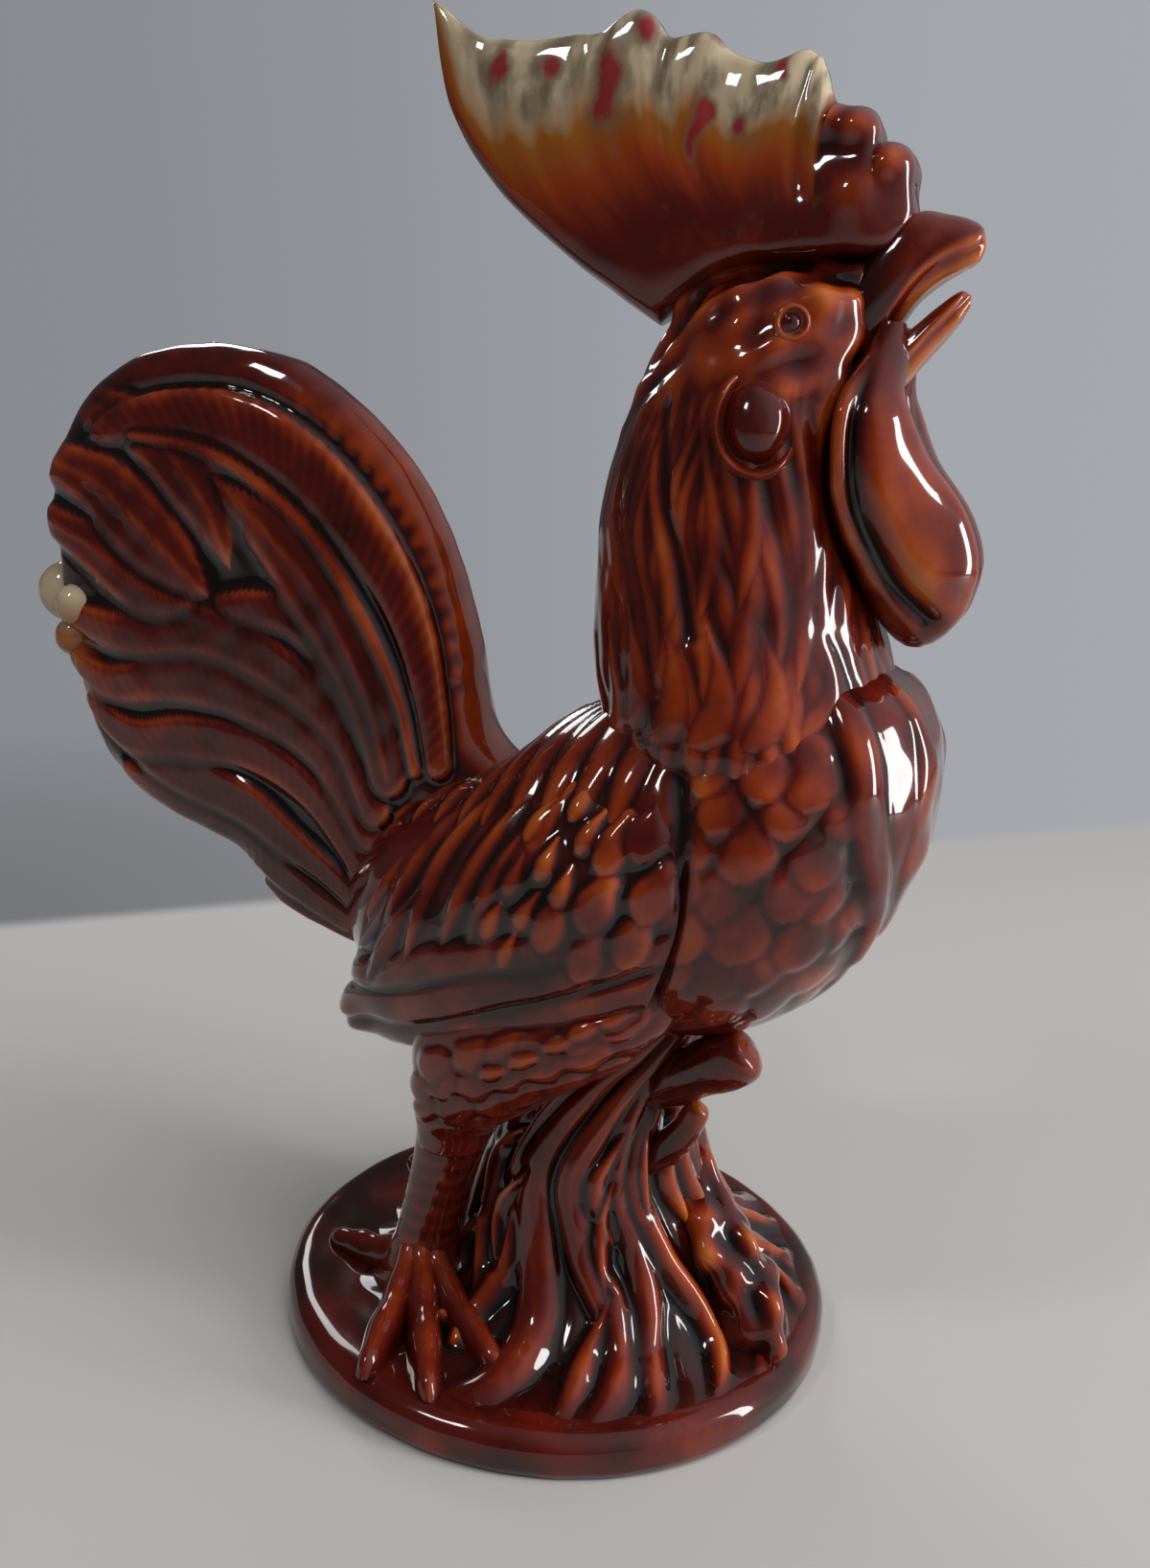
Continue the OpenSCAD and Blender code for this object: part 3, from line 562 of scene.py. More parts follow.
class Shade:
    """A socket in a material's node tree; sums, differences and products of values add Math nodes."""

    def __init__(self, tree, socket=None):
        self.tree = tree
        self.socket = socket

    def add(self, kind, settings=None, sockets=None, output=0):
        """Adds a node of a type with its settings, fills or links its sockets, and gives an output."""
        node = self.tree.nodes.new(kind)
        for key, value in (settings or {}).items():
            if key == "stops":
                ramp = node.color_ramp
                for _ in range(len(value) - 2):
                    ramp.elements.new(0.5)
                for element, (position, colour) in zip(ramp.elements, value):
                    element.position = position
                    element.color = (*colour, 1)
            else:
                setattr(node, key, value)
        for key, value in (sockets or {}).items():
            if isinstance(value, Shade):
                self.tree.links.new(value.socket, node.inputs[key])
            else:
                node.inputs[key].default_value = value
        return Shade(self.tree, node.outputs[output])

    def maths(self, operation, first, second):
        """A Math node on two values."""
        return self.add("ShaderNodeMath", {"operation": operation}, {0: first, 1: second})

    def __add__(self, other):
        return self.maths("ADD", self, other)

    def __radd__(self, other):
        return self.maths("ADD", other, self)

    def __sub__(self, other):
        return self.maths("SUBTRACT", self, other)

    def __rsub__(self, other):
        return self.maths("SUBTRACT", other, self)

    def __mul__(self, other):
        return self.maths("MULTIPLY", self, other)

    def vector(self, operation, first, second=None, output="Vector"):
        """A Vector Math node on one or two vectors."""
        sockets = {0: first} if second is None else {0: first, 1: second}
        return self.add("ShaderNodeVectorMath", {"operation": operation}, sockets, output)

    def dot(self, vector, way):
        """How far a vector goes in a direction."""
        return self.vector("DOT_PRODUCT", vector, way, "Value")

    def attribute(self, name):
        """A value that the mesh carries at its points."""
        return self.add("ShaderNodeAttribute", {"attribute_name": name}, output="Fac")

    def place(self, kind="Object"):
        """A point's place on the object, or a way out into the world."""
        return self.add("ShaderNodeTexCoord", output=kind)

    def seen(self):
        """1 where the camera looks straight at a thing, 0 for mirrored and scattered light."""
        return self.add("ShaderNodeLightPath", output="Is Camera Ray")

    def noise(self, vector, scale, detail):
        """Cloudy noise about 0.5."""
        return self.add("ShaderNodeTexNoise", {}, {"Vector": vector, "Scale": scale, "Detail": detail})

    def stretched(self, run, rise, detail):
        """Cloudy noise about 0.5, laid out over two values."""
        return self.noise(self.add("ShaderNodeCombineXYZ", {}, {"X": run, "Y": rise}), 1.0, detail)

    def step(self, low, high):
        """0 below low, 1 above high, eased between."""
        return self.add("ShaderNodeMapRange", {"interpolation_type": "SMOOTHSTEP"},
                        {"Value": self, "From Min": low, "From Max": high})

    def tint(self, under, over):
        """A colour between two, by this value."""
        return self.add("ShaderNodeMix", {"data_type": "RGBA"}, {0: self, 6: under, 7: over}, 2)

    def ramp(self, stops):
        """A colour from stops along this value."""
        return self.add("ShaderNodeValToRGB", {"stops": stops}, {"Fac": self})

    def into(self, node, name):
        """Links this socket to an input of a node."""
        self.tree.links.new(self.socket, node.inputs[name])


def srgb(red, green, blue):
    """Linear colour of three screen values from 0 to 255."""
    share = np.array([red, green, blue]) / 255
    return tuple(np.where(share <= 0.04045, share / 12.92, ((share + 0.055) / 1.055) ** 2.4))


def treacle_colour(thin, settings):
    """The brown glaze: near black in hollows, red-brown on plain ground and amber on ridges."""
    return thin.ramp([(0.0, settings.pooled), (0.3, settings.dark), (0.52, settings.treacle),
                      (0.75, settings.amber), (1.0, settings.honey)])


def comb_colour(thin, settings):
    """The comb's glaze: brown at its root, golden above and cream on top, with crimson and grey runs."""
    rise, run, pale, red = (thin.attribute(name) for name in ("rise", "run", "pale", "red"))
    level = pale + (thin.stretched(run * 20.0, rise * 1.6, 2.0) - 0.5) * 0.3
    gold = level.ramp([(0.16, settings.dark), (0.34, settings.treacle), (0.52, settings.amber),
                       (0.68, settings.gold), (0.82, settings.cream)])
    colour = level.step(0.1, 0.3).tint(treacle_colour(thin, settings), gold)
    olive, crimson = (*settings.olive, 1), (*settings.crimson, 1)
    streak = thin.stretched(run * 24.0, rise * 4.5, 4.0)
    colour = (streak.step(0.42, 0.66) * level.step(0.66, 0.84) * 0.85).tint(colour, olive)
    bleed = red + (thin.noise(thin.place(), 260.0, 3.0) - 0.5) * 0.9
    colour = (bleed.step(0.1, 0.45) * 0.6).tint(colour, olive)
    return (bleed.step(0.4, 0.8) * 0.9).tint(colour, crimson)


def tail_colour(thin, settings):
    """The brown glaze, run thin to amber and cream where the tail's outer edge is wiped."""
    pale = thin.attribute("pale")
    bare = pale.ramp([(0.2, settings.amber), (0.5, settings.gold), (0.8, settings.cream)])
    return pale.step(0.05, 0.4).tint(treacle_colour(thin, settings), bare)


COLOURS = {"treacle": treacle_colour, "comb": comb_colour, "tail treacle": tail_colour}


def glaze(name):
    """A named glossy glaze, made once: its colour comes from how thin it lies, clouded and speckled."""
    if name in bpy.data.materials:
        return bpy.data.materials[name]
    settings = bpy.context.scene.rooster_glaze
    material = bpy.data.materials.new(name)
    material.use_nodes = True
    shader = material.node_tree.nodes["Principled BSDF"]
    gloss = {"Roughness": settings.roughness, "Specular IOR Level": 0.1, "Coat Weight": 1.0,
             "Coat Roughness": 0.03}
    for key, value in gloss.items():
        shader.inputs[key].default_value = value
    shade = Shade(material.node_tree)
    where = shade.place()
    cloud = shade.noise(where, 55.0, 3.0)
    speck = shade.noise(where, 420.0, 2.0)
    thin = shade.attribute("thin") + (cloud - 0.5) * 0.45 + (speck - 0.5) * 0.12
    COLOURS[name](thin, settings).into(shader, "Base Color")
    peel = shade.noise(where, 230.0, 1.0)
    bump = shade.add("ShaderNodeBump", {}, {"Height": peel, "Strength": 0.05, "Distance": 0.001})
    bump.into(shader, "Normal")
    return material


def colour_prop(name, description, default):
    """A colour setting."""
    return bpy.props.FloatVectorProperty(name=name, description=description, subtype="COLOR", size=3, min=0,
                                         max=1, default=default)


def depth_prop(name, description, default):
    """A relief depth setting, in metres."""
    return bpy.props.FloatProperty(name=name, description=description, unit="LENGTH", subtype="DISTANCE",
                                   min=0, max=0.005, precision=5, default=default * MM)


class RoosterGlaze(bpy.types.PropertyGroup):
    """Colours of the glazes."""

    pooled: colour_prop("Pooled", "Glaze lying thick in the hollows", srgb(20, 9, 9))
    dark: colour_prop("Dark", "Glaze on low ground", srgb(50, 12, 8))
    treacle: colour_prop("Treacle", "Glaze on plain ground", srgb(92, 22, 12))
    amber: colour_prop("Amber", "Glaze running thin on ridges", srgb(146, 54, 16))
    honey: colour_prop("Honey", "Glaze at its thinnest", srgb(184, 96, 34))
    gold: colour_prop("Gold", "Yellow glaze on the comb", srgb(153, 89, 25))
    cream: colour_prop("Cream", "Bare pale glaze on the comb's top", srgb(196, 176, 144))
    crimson: colour_prop("Crimson", "Red runs on the comb", srgb(144, 28, 36))
    olive: colour_prop("Olive", "Grey mottles on the comb", srgb(104, 90, 70))
    roughness: bpy.props.FloatProperty(name="Roughness", description="Roughness under the clear coat",
                                       subtype="FACTOR", min=0, max=1, default=0.18)


class RoosterRelief(bpy.types.PropertyGroup):
    """Depths of the carved relief."""

    hackle: depth_prop("Hackle", "Height of a neck feather", 1.2)
    scale: depth_prop("Breast", "Height of a breast feather", 1.5)
    wing: depth_prop("Wing", "Height of a wing feather", 1.9)
    tail: depth_prop("Tail", "Height of a tail feather", 2.2)
    bark: depth_prop("Bark", "Height of a bark ridge", 2.6)


class RoosterStage(bpy.types.PropertyGroup):
    """Floor, wall and lights."""

    floor: colour_prop("Floor", "Colour of the floor", srgb(184, 180, 177))
    wall: colour_prop("Wall", "Colour of the wall", srgb(160, 163, 168))
    window: bpy.props.FloatProperty(name="Window", description="Power of the window light", unit="POWER",
                                    min=0, default=9.0)
    sky: bpy.props.FloatProperty(name="Sky", description="Strength of the light from all round", min=0,
                                 default=0.9)


class ROOSTER_OT_plinth(bpy.types.Operator):
    """Turns the round plinth with its foot ring, hollow and drain hole"""

    bl_idname = "rooster.plinth"
    bl_label = "Plinth"

    def execute(self, context):
        """A closed profile of r and z turned about Z, or about the hole's axis where it lines the hole."""
        rings, count = 200, 240
        hole, roof, edge = (15.5, 6), 2.5, 4.5
        foot = ((46, roof), (49.5, 2.3), (49.5, 0.2), (50, 0), (60, 0), (61.4, 0.5), (62, 1.8))
        rim = [(57.5 + edge * np.sin(t), edge + edge * np.cos(t)) for t in np.linspace(np.pi / 2, 0, 7)]
        top = [(r, PLINTH_H) for r in (52, 40, 24)]
        round_middle = [(0, r, z) for r, z in (*foot, *rim, *top)]
        profile = np.array([(*hole, roof), *round_middle, (*hole, PLINTH_H), (*hole, roof)])
        length = run_of(profile[:, 1:])
        s = np.linspace(0, length[-1], rings, endpoint=False)
        x, r, z = (np.interp(s, length, column)[:, None] for column in profile.T)
        a = angles(count)
        points = grid(x + r * np.cos(a), r * np.sin(a), z)
        wave = 0.25 * ripple(points, 40, seed=3) * ease(3, 6, z)
        patches = 0.16 * ripple(points, 22, seed=5) - 0.07
        fire("base_plinth", "plinth_glaze", glazed(points, wave, bias=patches, loop=True))
        return {"FINISHED"}


class ROOSTER_OT_stump(bpy.types.Operator):
    """Models the stump with its bark, branch, twig and root"""

    bl_idname = "rooster.stump"
    bl_label = "Stump"

    def execute(self, context):
        """Ovals up Z with bark laid over them, and boughs: circles along curves, with gnarls as bells."""
        rings, count = 220, 420
        points = rings_z(STUMP_ROWS, np.linspace(0, 1, rings) ** 1.6, count)
        drop = run_of(points[:, 0])
        around = STUMP_GIRTH * angles(count, 0.5) / TAU
        around, down = np.broadcast_arrays(around, (drop[-1] - drop)[:, None])
        bark = self.bark(around, down, context.scene.rooster_relief.bark / MM)
        fade = ease(drop[-1] + 1, drop[-1] - 11, down)
        shaded = -0.05 - 0.1 * ease(55, 85, down)
        fire("stump", "bark_glaze", glazed(points, (bark - 0.6) * fade, gain=0.28, bias=shaded))
        rings, count = 110, 96
        for node, (wear, way) in BOUGHS.items():
            points = rings_bough(way, rings, count)
            relief = 0.2 * ripple(points, 10, seed=21)
            relief += 2.2 * sum(np.exp(-((points - knot) ** 2).sum(axis=-1) / 14) for knot in GNARLS)
            if node == "front_root":
                relief += 1.5 * ripple(points, 8, seed=23) + 0.6 * ripple(points, 5, seed=29)
            wear_and_highlight = wear * shares(rings) ** 2 * np.ones(count)
            fire(node, "bark_glaze", glazed(points, relief, bias=wear_and_highlight))
        return {"FINISHED"}

    def bark(self, around, down, rise):
        """Height of the bark: ridges that sway down the stump and spread, with short ones laid over them."""
        carving = Carving(around, down)
        shift = bumps(60, seed=11)
        ridges, spare = 19, 4
        for i in range(-spare, ridges + spare):
            k = i % ridges
            start = (i + 0.35 * shift[k]) * STUMP_GIRTH / ridges
            bend = 3.2 * shift[k + 20]
            way = [(start + 30, -4), (start + 19 + bend, 14), (start + 5, 30), (start - 3 + bend, 48),
                   (start + bend, 66), (start + 2 - bend, 84), (start + 1, 100 + 10 * shift[k + 40])]
            carving.stroke(way, 9 + 2 * shift[k + 30], rise * (1 + 0.25 * shift[k + 10]), root=0.8, tip=0.25,
                           peak=0.5, blunt=0.7, groove=0.9, edge=0.1, quill=0.3)
        for i in range(30):
            start = STUMP_GIRTH * (shift[i] + 1) / 2
            top = 30 + 32 * (shift[i + 30] + 1)
            bend = 3 * shift[(7 * i) % 60]
            way = [(start + 4, top), (start + bend, top + 11), (start + 1, top + 24)]
            carving.stroke(way, 4.5 + 1.5 * shift[i + 15], 1.1 * rise, root=0.3, tip=0.1, blunt=0.9,
                           groove=0.7, edge=0.1)
        return carving.height


class ROOSTER_OT_legs(bpy.types.Operator):
    """Models the thighs, shanks and feet"""

    bl_idname = "rooster.legs"
    bl_label = "Legs"

    def execute(self, context):
        """Thigh, shank and foot of the right leg, each mirrored for the left."""
        fire_pair("thigh", "plumage_glaze", self.thigh(context.scene.rooster_relief.scale / MM))
        fire_pair("shank", "leg_glaze", self.shank())
        heel = (-25, -23)
        toes = [self.toe(heel, end, width=9.4, height=11) for end in ((-19, -58.5), (-4, -58.5), (6, -46))]
        spur = self.toe(heel, (-50, -19), width=9, height=8)
        fire_pair("foot", "leg_glaze", self.ball(heel), *toes, spur)
        return {"FINISHED"}

    def thigh(self, rise):
        """A drumstick of ovals up Z, with rows of small overlapping scales on its outer side."""
        rings, count = 130, 260
        z, x, out, wide, deep = sections(THIGH_ROWS, np.linspace(0, 1, rings))
        a = angles(count)
        points = grid(x + wide * np.cos(a), -out + deep * np.sin(a), z)
        carving = Carving(points[..., 0], points[..., 2])
        shift = bumps(400, seed=31)
        rows, row_length = 4, 6
        for k in range(rows * row_length):
            row, i = divmod(k, row_length)
            x = -24 + 7.4 * i + 3.7 * (row % 2) + 1.2 * shift[k] + 1.6 * row
            z = 55 + 5.8 * row + 0.42 * (x + 10) + 0.8 * shift[k + 100]
            carving.stroke([(x + 3, z + 2.2), (x, z), (x - 3.2, z - 2.2)], 7.4 + 0.8 * shift[k + 200],
                           0.5 * rise, root=0.8, peak=0.5, groove=0.25, edge=0.2)
        for x, z in ((-2, 72), (4, 76), (10.6, 80.5), (15.6, 84), (21, 87)):
            carving.stroke([(x + 2.6, z + 1.6), (x - 2.6, z - 1.4)], 4.4, 0.8 * rise, root=0.7, groove=0.5,
                           edge=0.2)
        outside = ease(-20, -26, points[..., 1]) * ease(50, 57, points[..., 2])
        return glazed(points, carving.height * outside, bias=0.06)

    def shank(self):
        """A leaning column with faint ring scutes."""
        rings, count = 100, 80
        t = shares(rings)
        foot, hock = np.array((-25, -23, 12)), np.array((-17, -23.5, 49))
        x, y, z = np.moveaxis(foot + (hock - foot) * t, -1, 0)[..., None]
        ring = np.sin(np.pi * 9 * t) ** 2 * np.ones(count)
        radius = 6.6 + 1.6 * t ** 3 + 1.6 * (1 - t) ** 4
        a = angles(count)
        points = grid(x + radius * np.cos(a), y + radius * np.sin(a), z)
        return glazed(points, 0.07 * ring, bias=0.12 * ring - 0.06)

    def ball(self, heel):
        """The ball of the foot: a dome from the ground up to the shank."""
        rings, count = 40, 90
        t = shares(rings)
        radius = 12.5 - 6 * t ** 0.6
        a = angles(count)
        z = PLINTH_H - 1 + 13 * t ** 1.3
        return glazed(grid(heel[0] + 2.5 * t + radius * np.cos(a), heel[1] + radius * np.sin(a), z))

    def toe(self, heel, end, width, height):
        """A toe from the heel to its claw: arched above, flat below, knuckled and tapering."""
        rings, count = 90, 60
        t = shares(rings)
        way = np.array(end, float) - heel
        side = np.array((-way[1], way[0])) / np.hypot(*way)
        taper = (1 - 0.35 * t) * np.sqrt(1 - t ** 9)
        knuckle = 1 + 0.05 * np.sin(TAU * 3.5 * t)
        a = angles(count)
        across = width / 2 * taper * knuckle * np.cos(a)
        arch = height * taper * knuckle * (1 - 0.3 * t) + 9 * bell(t / 0.2)
        x, y = (heel[k] + way[k] * t + side[k] * across for k in (0, 1))
        points = grid(x, y, PLINTH_H + arch * np.maximum(np.sin(a), -0.1))
        return glazed(points, bias=0.2 * np.maximum(np.sin(a), 0) ** 2 * np.ones_like(t) - 0.06)


class ROOSTER_OT_body(bpy.types.Operator):
    """Models the body with its breast feathers, seam ridge and saddle"""

    bl_idname = "rooster.body"
    bl_label = "Body"

    def execute(self, context):
        """Superellipses along X: scales beside the breast's smooth front, and feathers over the saddle."""
        rise = context.scene.rooster_relief.scale / MM
        points = rings_x(BODY_ROWS, steps=300, count=320, power=BODY_ROUND)
        x, y, z = np.moveaxis(points, -1, 0)
        turn = BREAST_TURN * np.arctan2(np.abs(y), x - BREAST_AXIS_X)
        breast = Carving(turn, z)
        shift = bumps(400, seed=41)
        rows, row_length = 8, 8
        for k in range(rows * row_length):
            row, i = divmod(k, row_length)
            a = 16 + 9.2 * i + 4.6 * (row % 2) + 2.0 * shift[k]
            b = 83 + 7.8 * row + 1.8 * shift[k + 100]
            lift = rise * (0.32 + 0.045 * row) * (1 + 0.3 * shift[k + 300])
            breast.stroke([(a - 1.2, b + 6), (a, b), (a + 0.8, b - 5)], 10.6 + 2.2 * shift[k + 200], lift,
                          root=0.7, peak=0.4, groove=0.15 + 0.03 * row, edge=0.25, tilt=0.5)
        seam = Carving(turn, z)
        edge_z, edge_turn = (100, 110, 120, 128, 141, 152), (12, 15, 18.5, 21, 22, 22)
        seam.stroke(list(zip(edge_turn, edge_z)), 7, 0.75 * rise, root=0.6, tip=0.6, groove=0.1, edge=0)
        seam.stroke([(9, 150), (8.5, 135), (8, 120), (6, 102)], 8, 0.5 * rise, groove=0.0, edge=0)
        smooth = seam.height + 0.8 + 0.35 * ripple(points, 13, seed=43)
        past_seam = turn - np.interp(z, edge_z, edge_turn)
        front = ease(24, 30, x) * ease(80, 88, z)
        scaled = ease(1.5, 4, past_seam)
        side = Carving(x, z)
        side.trough([(29, 134), (31, 124), (31.5, 112), (29, 98), (26, 90)], width=4, depth=2.0)
        saddle = Carving(x, SADDLE_TURN * np.arctan2(np.abs(y), z - SADDLE_AXIS_Z))
        for i in range(12):
            start = 34 - 7 * i
            way = [(start, 3 + 2 * shift[i]), (start - 8, 12), (start - 14, 24), (start - 17, 40)]
            saddle.stroke(way, 7.5, 0.5 * rise, blunt=0.8, groove=0.3, quill=0.2, edge=0.2)
        relief = front * (scaled * breast.height + (1 - scaled) * smooth)
        relief += ease(32, 24, x) * ease(84, 92, z) * saddle.height
        relief += side.height * ease(20, 28, np.abs(y))
        ridge = bell(past_seam / 3) * front
        blotch = 0.16 * ripple(points, 13, seed=47) * front * (0.35 + 0.65 * scaled)
        fire("body", "plumage_glaze",
             glazed(points, relief * ease(72.5, 70, x), gain=0.36, bias=0.04 - 0.2 * ridge + blotch))
        return {"FINISHED"}


class ROOSTER_OT_wings(bpy.types.Operator):
    """Models the wings with their coverts and long feathers"""

    bl_idname = "rooster.wings"
    bl_label = "Wings"

    def execute(self, context):
        """A side-view patch pushed out just past the body's side, and a face 9 mm inside it."""
        rings, across = 220, 180
        u, v = both_faces(eased(rings), across)
        x, z = np.moveaxis(patch(WING_LOW, WING_TOP, WING_FRONT, WING_REAR, u, v), -1, 0)
        swell = np.maximum(16 * u * (1 - u) * v * (1 - v), 0) ** 0.25
        proud = ease(0, 0.3, u) * ease(1.0, 0.6, v)
        outer = body_side(x, z, 0.3 + 1.7 * proud, 8) + 2.5 * swell * proud
        inner = np.repeat([0.0, 1.0], across)
        points = grid(x, -outer + 9 * inner, z)
        edge = (1 - np.abs(2 * v - 1) ** 12) * (1 - (2 * u - 1) ** 16)
        knob = 4.5 * bell((x + 44) / 4.5, (z - 68) / 5)
        relief = self.feathers(x, z, context.scene.rooster_relief.wing / MM) * edge * (1 - inner) + knob
        fire_pair("wing", "plumage_glaze", glazed(points, relief, bias=0.14 * ripple(points, 13, seed=57)))
        return {"FINISHED"}

    def feathers(self, x, z, rise):
        """Height of the wing's feathers: long ones, then narrow ones, round coverts and small drops."""
        carving = Carving(x, z)
        for way, width in WING_BANDS:
            carving.stroke(way, width, 0.6 * rise, root=0.7, tip=0.6, edge=0.15)
        for way in WING_STRANDS:
            carving.stroke(way, 5.6, 0.6 * rise, root=0.4, blunt=0.8, groove=0.4, quill=0.3, edge=0.1)
        for x0, z0, size in WING_COVERTS:
            carving.stroke([(x0 + 2, z0 + 5), (x0, z0), (x0 - 1.5, z0 - 5)], size, 0.9 * rise, root=0.6,
                           peak=0.5, edge=0.15, flat=3)
        for (x0, z0), lean in zip(WING_DROPS, bumps(300, seed=51)):
            carving.stroke([(x0 + 1.5 + lean, z0 + 4), (x0, z0), (x0 - 1.5, z0 - 4)], 4.6, 0.9 * rise,
                           root=0.3, peak=0.65, edge=0.1)
        return carving.height


class ROOSTER_OT_tail(bpy.types.Operator):
    """Models the fan tail with its sickle feathers on both faces"""

    bl_idname = "rooster.tail"
    bl_label = "Tail"

    def execute(self, context):
        """A fin with feathers on both faces, paler where its edge is wiped, and balls at its tip."""
        rings, across = 260, 170
        points, u, v = rings_fin(TAIL_BELLY, TAIL_RIM, TAIL_ROOT, TAIL_TIP, eased(rings), across, self.half)
        x, z = points[..., 0], points[..., 2]
        height = self.feathers(x, z, context.scene.rooster_relief.tail / MM)
        face = ease(0.0, 0.07, v) * ease(1.0, 0.93, v) * ease(1.0, 0.955 - 0.1 * ease(0.45, 0.6, v), u)
        wiped = 0.55 * bell((x + 130) / 7, (z - 130) / 13) + 0.3 * ease(0.97, 0.995, u) * ease(0.5, 0.4, v)
        # Paler along the upper rim, less towards the tip: partly thin glaze on the edge, partly a painted
        # sheen
        rim = 0.28 * ease(0.88, 0.93, v) * ease(0.95, 0.6, u)
        fan = glazed(points, face * height * ease(-22, -30, x), gain=0.4, bias=rim - 0.08, pale=wiped)
        beads = [self.bead((-137, -1.5, 151), 7.2, 0.8)]
        for centre, radius, pale in TAIL_BEADS:
            bead = self.bead(centre, radius, pale)
            beads += [bead, mirrored(bead)]
        fire("tail_fan", "plumage_glaze", fan, *beads, finish="tail treacle")
        return {"FINISHED"}

    def feathers(self, x, z, rise):
        """Height of the tail's feathers, laid one over the other, less the notches along its rim."""
        carving = Carving(x, z)
        plain = {"rise": 0.7 * rise, "groove": 0.6, "edge": 0.3, "flat": 4, "lip": 0.4, "root": 0.6}
        kinds = {
            "stub": {**plain, "tip": 0.5},
            "long": {**plain, "barbs": 0.06, "pitch": 3.0, "tip": 0.2, "blunt": 0.6},
            "leaf": {**plain, "blunt": 0.9, "quill": 0.5},
            "sickle": {"rise": 0.6 * rise, "tip": 0.3, "groove": 0.8, "edge": 0.3, "barbs": 0.09,
                       "pitch": 3.2, "flat": 4},
            "shaft": {"rise": 0.9 * rise, "root": 0.8, "tip": 0.4}}
        for kind, width, way in TAIL_FEATHERS:
            carving.stroke(way, width, **kinds[kind])
        for notch_x, notch_z in curve(TAIL_NOTCHES, np.linspace(0.1, 0.97, 28)):
            carving.height -= np.exp(-((x - notch_x) ** 2 + (z - notch_z) ** 2) / 3)
        return carving.height

    def bead(self, centre, radius, pale):
        """A ball of bare glaze: circles up Z, paler above than below."""
        rings, count = 40, 48
        rise = np.linspace(-1, 1, rings)[1:-1, None] * np.pi / 2
        a = angles(count)
        ball = grid(np.cos(rise) * np.cos(a), np.cos(rise) * np.sin(a), np.sin(rise))
        return glazed(centre + radius * ball, pale=pale + 0.2 * ball[..., 2])

    def half(self, u, v):
        """Half thickness: full at the root, thinner at the tip, rounded off along every edge."""
        edge = np.sqrt(1 - np.abs(2 * v - 1) ** 5) * np.sqrt(1 - u ** 50)
        return 0.6 + 12 * edge * (0.3 + 0.7 * np.sqrt(1 - u ** 9)) * (1 - 0.3 * u)


class ROOSTER_OT_neck(bpy.types.Operator):
    """Models the neck and head with the hackle cape and the face"""

    bl_idname = "rooster.neck"
    bl_label = "Neck"

    def execute(self, context):
        """Ovals up Z: the cape's strands below, flecks on the face above, and creases round it."""
        rise = context.scene.rooster_relief.hackle / MM
        rings, count = 250, 390
        points = rings_z(NECK_ROWS, np.linspace(0, 1, rings), count)
        x, y, z = np.moveaxis(points, -1, 0)
        turn = np.abs((angles(count, 0.5) + np.pi) % TAU - np.pi)
        hackle = self.hackle(*np.broadcast_arrays(NECK_TURN * turn, z), rise)
        side = Carving(x, z)
        side.trough(FACE_CREASE, width=5, depth=2.2)
        side.trough(CHEEK_CREASE, width=2.2, depth=1.6)
        lappet_z = (150, 160, 167, 176, 185, 194, 202, 210)
        lappet_x = (75, 61, 56, 51, 47.5, 46.5, 47.5, 50.5)
        hackle *= ease(0, 5, np.interp(z, lappet_z, lappet_x) - x)
        fleck = 0.7 * ripple(points, 7, seed=67) * ease(192, 204, z)
        brow = 1.6 * bell((x - 44) / 4, (z - 218) / 3)
        cheek = 0.8 * bell((x - 30) / 10, (z - 208) / 8)
        relief = hackle * ease(208, 194, z) + fleck + brow + cheek + side.height * ease(4, 9, np.abs(y))
        mottled = (0.06 + 0.16 * ripple(points, 10, seed=69)) * ease(194, 206, z)
        blotch = 0.14 * ripple(points, 15, seed=79) * ease(204, 194, z)
        fire("neck", "plumage_glaze", glazed(points, relief, gain=0.34, bias=0.08 + mottled + blotch))
        return {"FINISHED"}

    def hackle(self, around, z, rise):
        """Height of the cape: tiers of swaying strands, curled locks over them, and a groove in front."""
        carving = Carving(around, z)
        shift = bumps(400, seed=61)
        k = 0
        for tip_z, count, length in HACKLE_TIERS:
            for i in range(count):
                start = (i + 0.5 + 0.3 * shift[k]) * 84 / count
                low = tip_z + 5 * shift[k + 100]
                phase = 0.5 * i + shift[k + 200]
                k += 1
                calm = 0.4 if start > 54 else 0.85
                levels = np.linspace(min(low + length, 206), low, 8)
                sway = start + 2.6 * np.sin(levels / 8 + phase) + 0.09 * (levels - 150)
                carving.stroke(np.stack([sway, levels], -1), 5 + 1.2 * shift[k], 0.75 * calm * rise,
                               root=0.35, blunt=0.8, peak=0.7, groove=0.2 * calm, quill=0.2 * calm,
                               tilt=0.4, edge=0.05)
        for i in range(9):
            start, low = 7 + 8 * i + 2 * shift[i + 300], 141 + 4 * shift[i + 310]
            way = [(start + 1, low + 22), (start - 1.5, low + 14), (start - 1, low + 6), (start + 4, low)]
            carving.stroke(way, 6.4 + shift[i + 320], 0.65 * rise, root=0.1, peak=0.75, groove=0.2,
                           edge=0.05)
        carving.trough([(57, 202), (52, 186), (47, 173), (44, 160)], width=3, depth=1.4)
        return carving.height


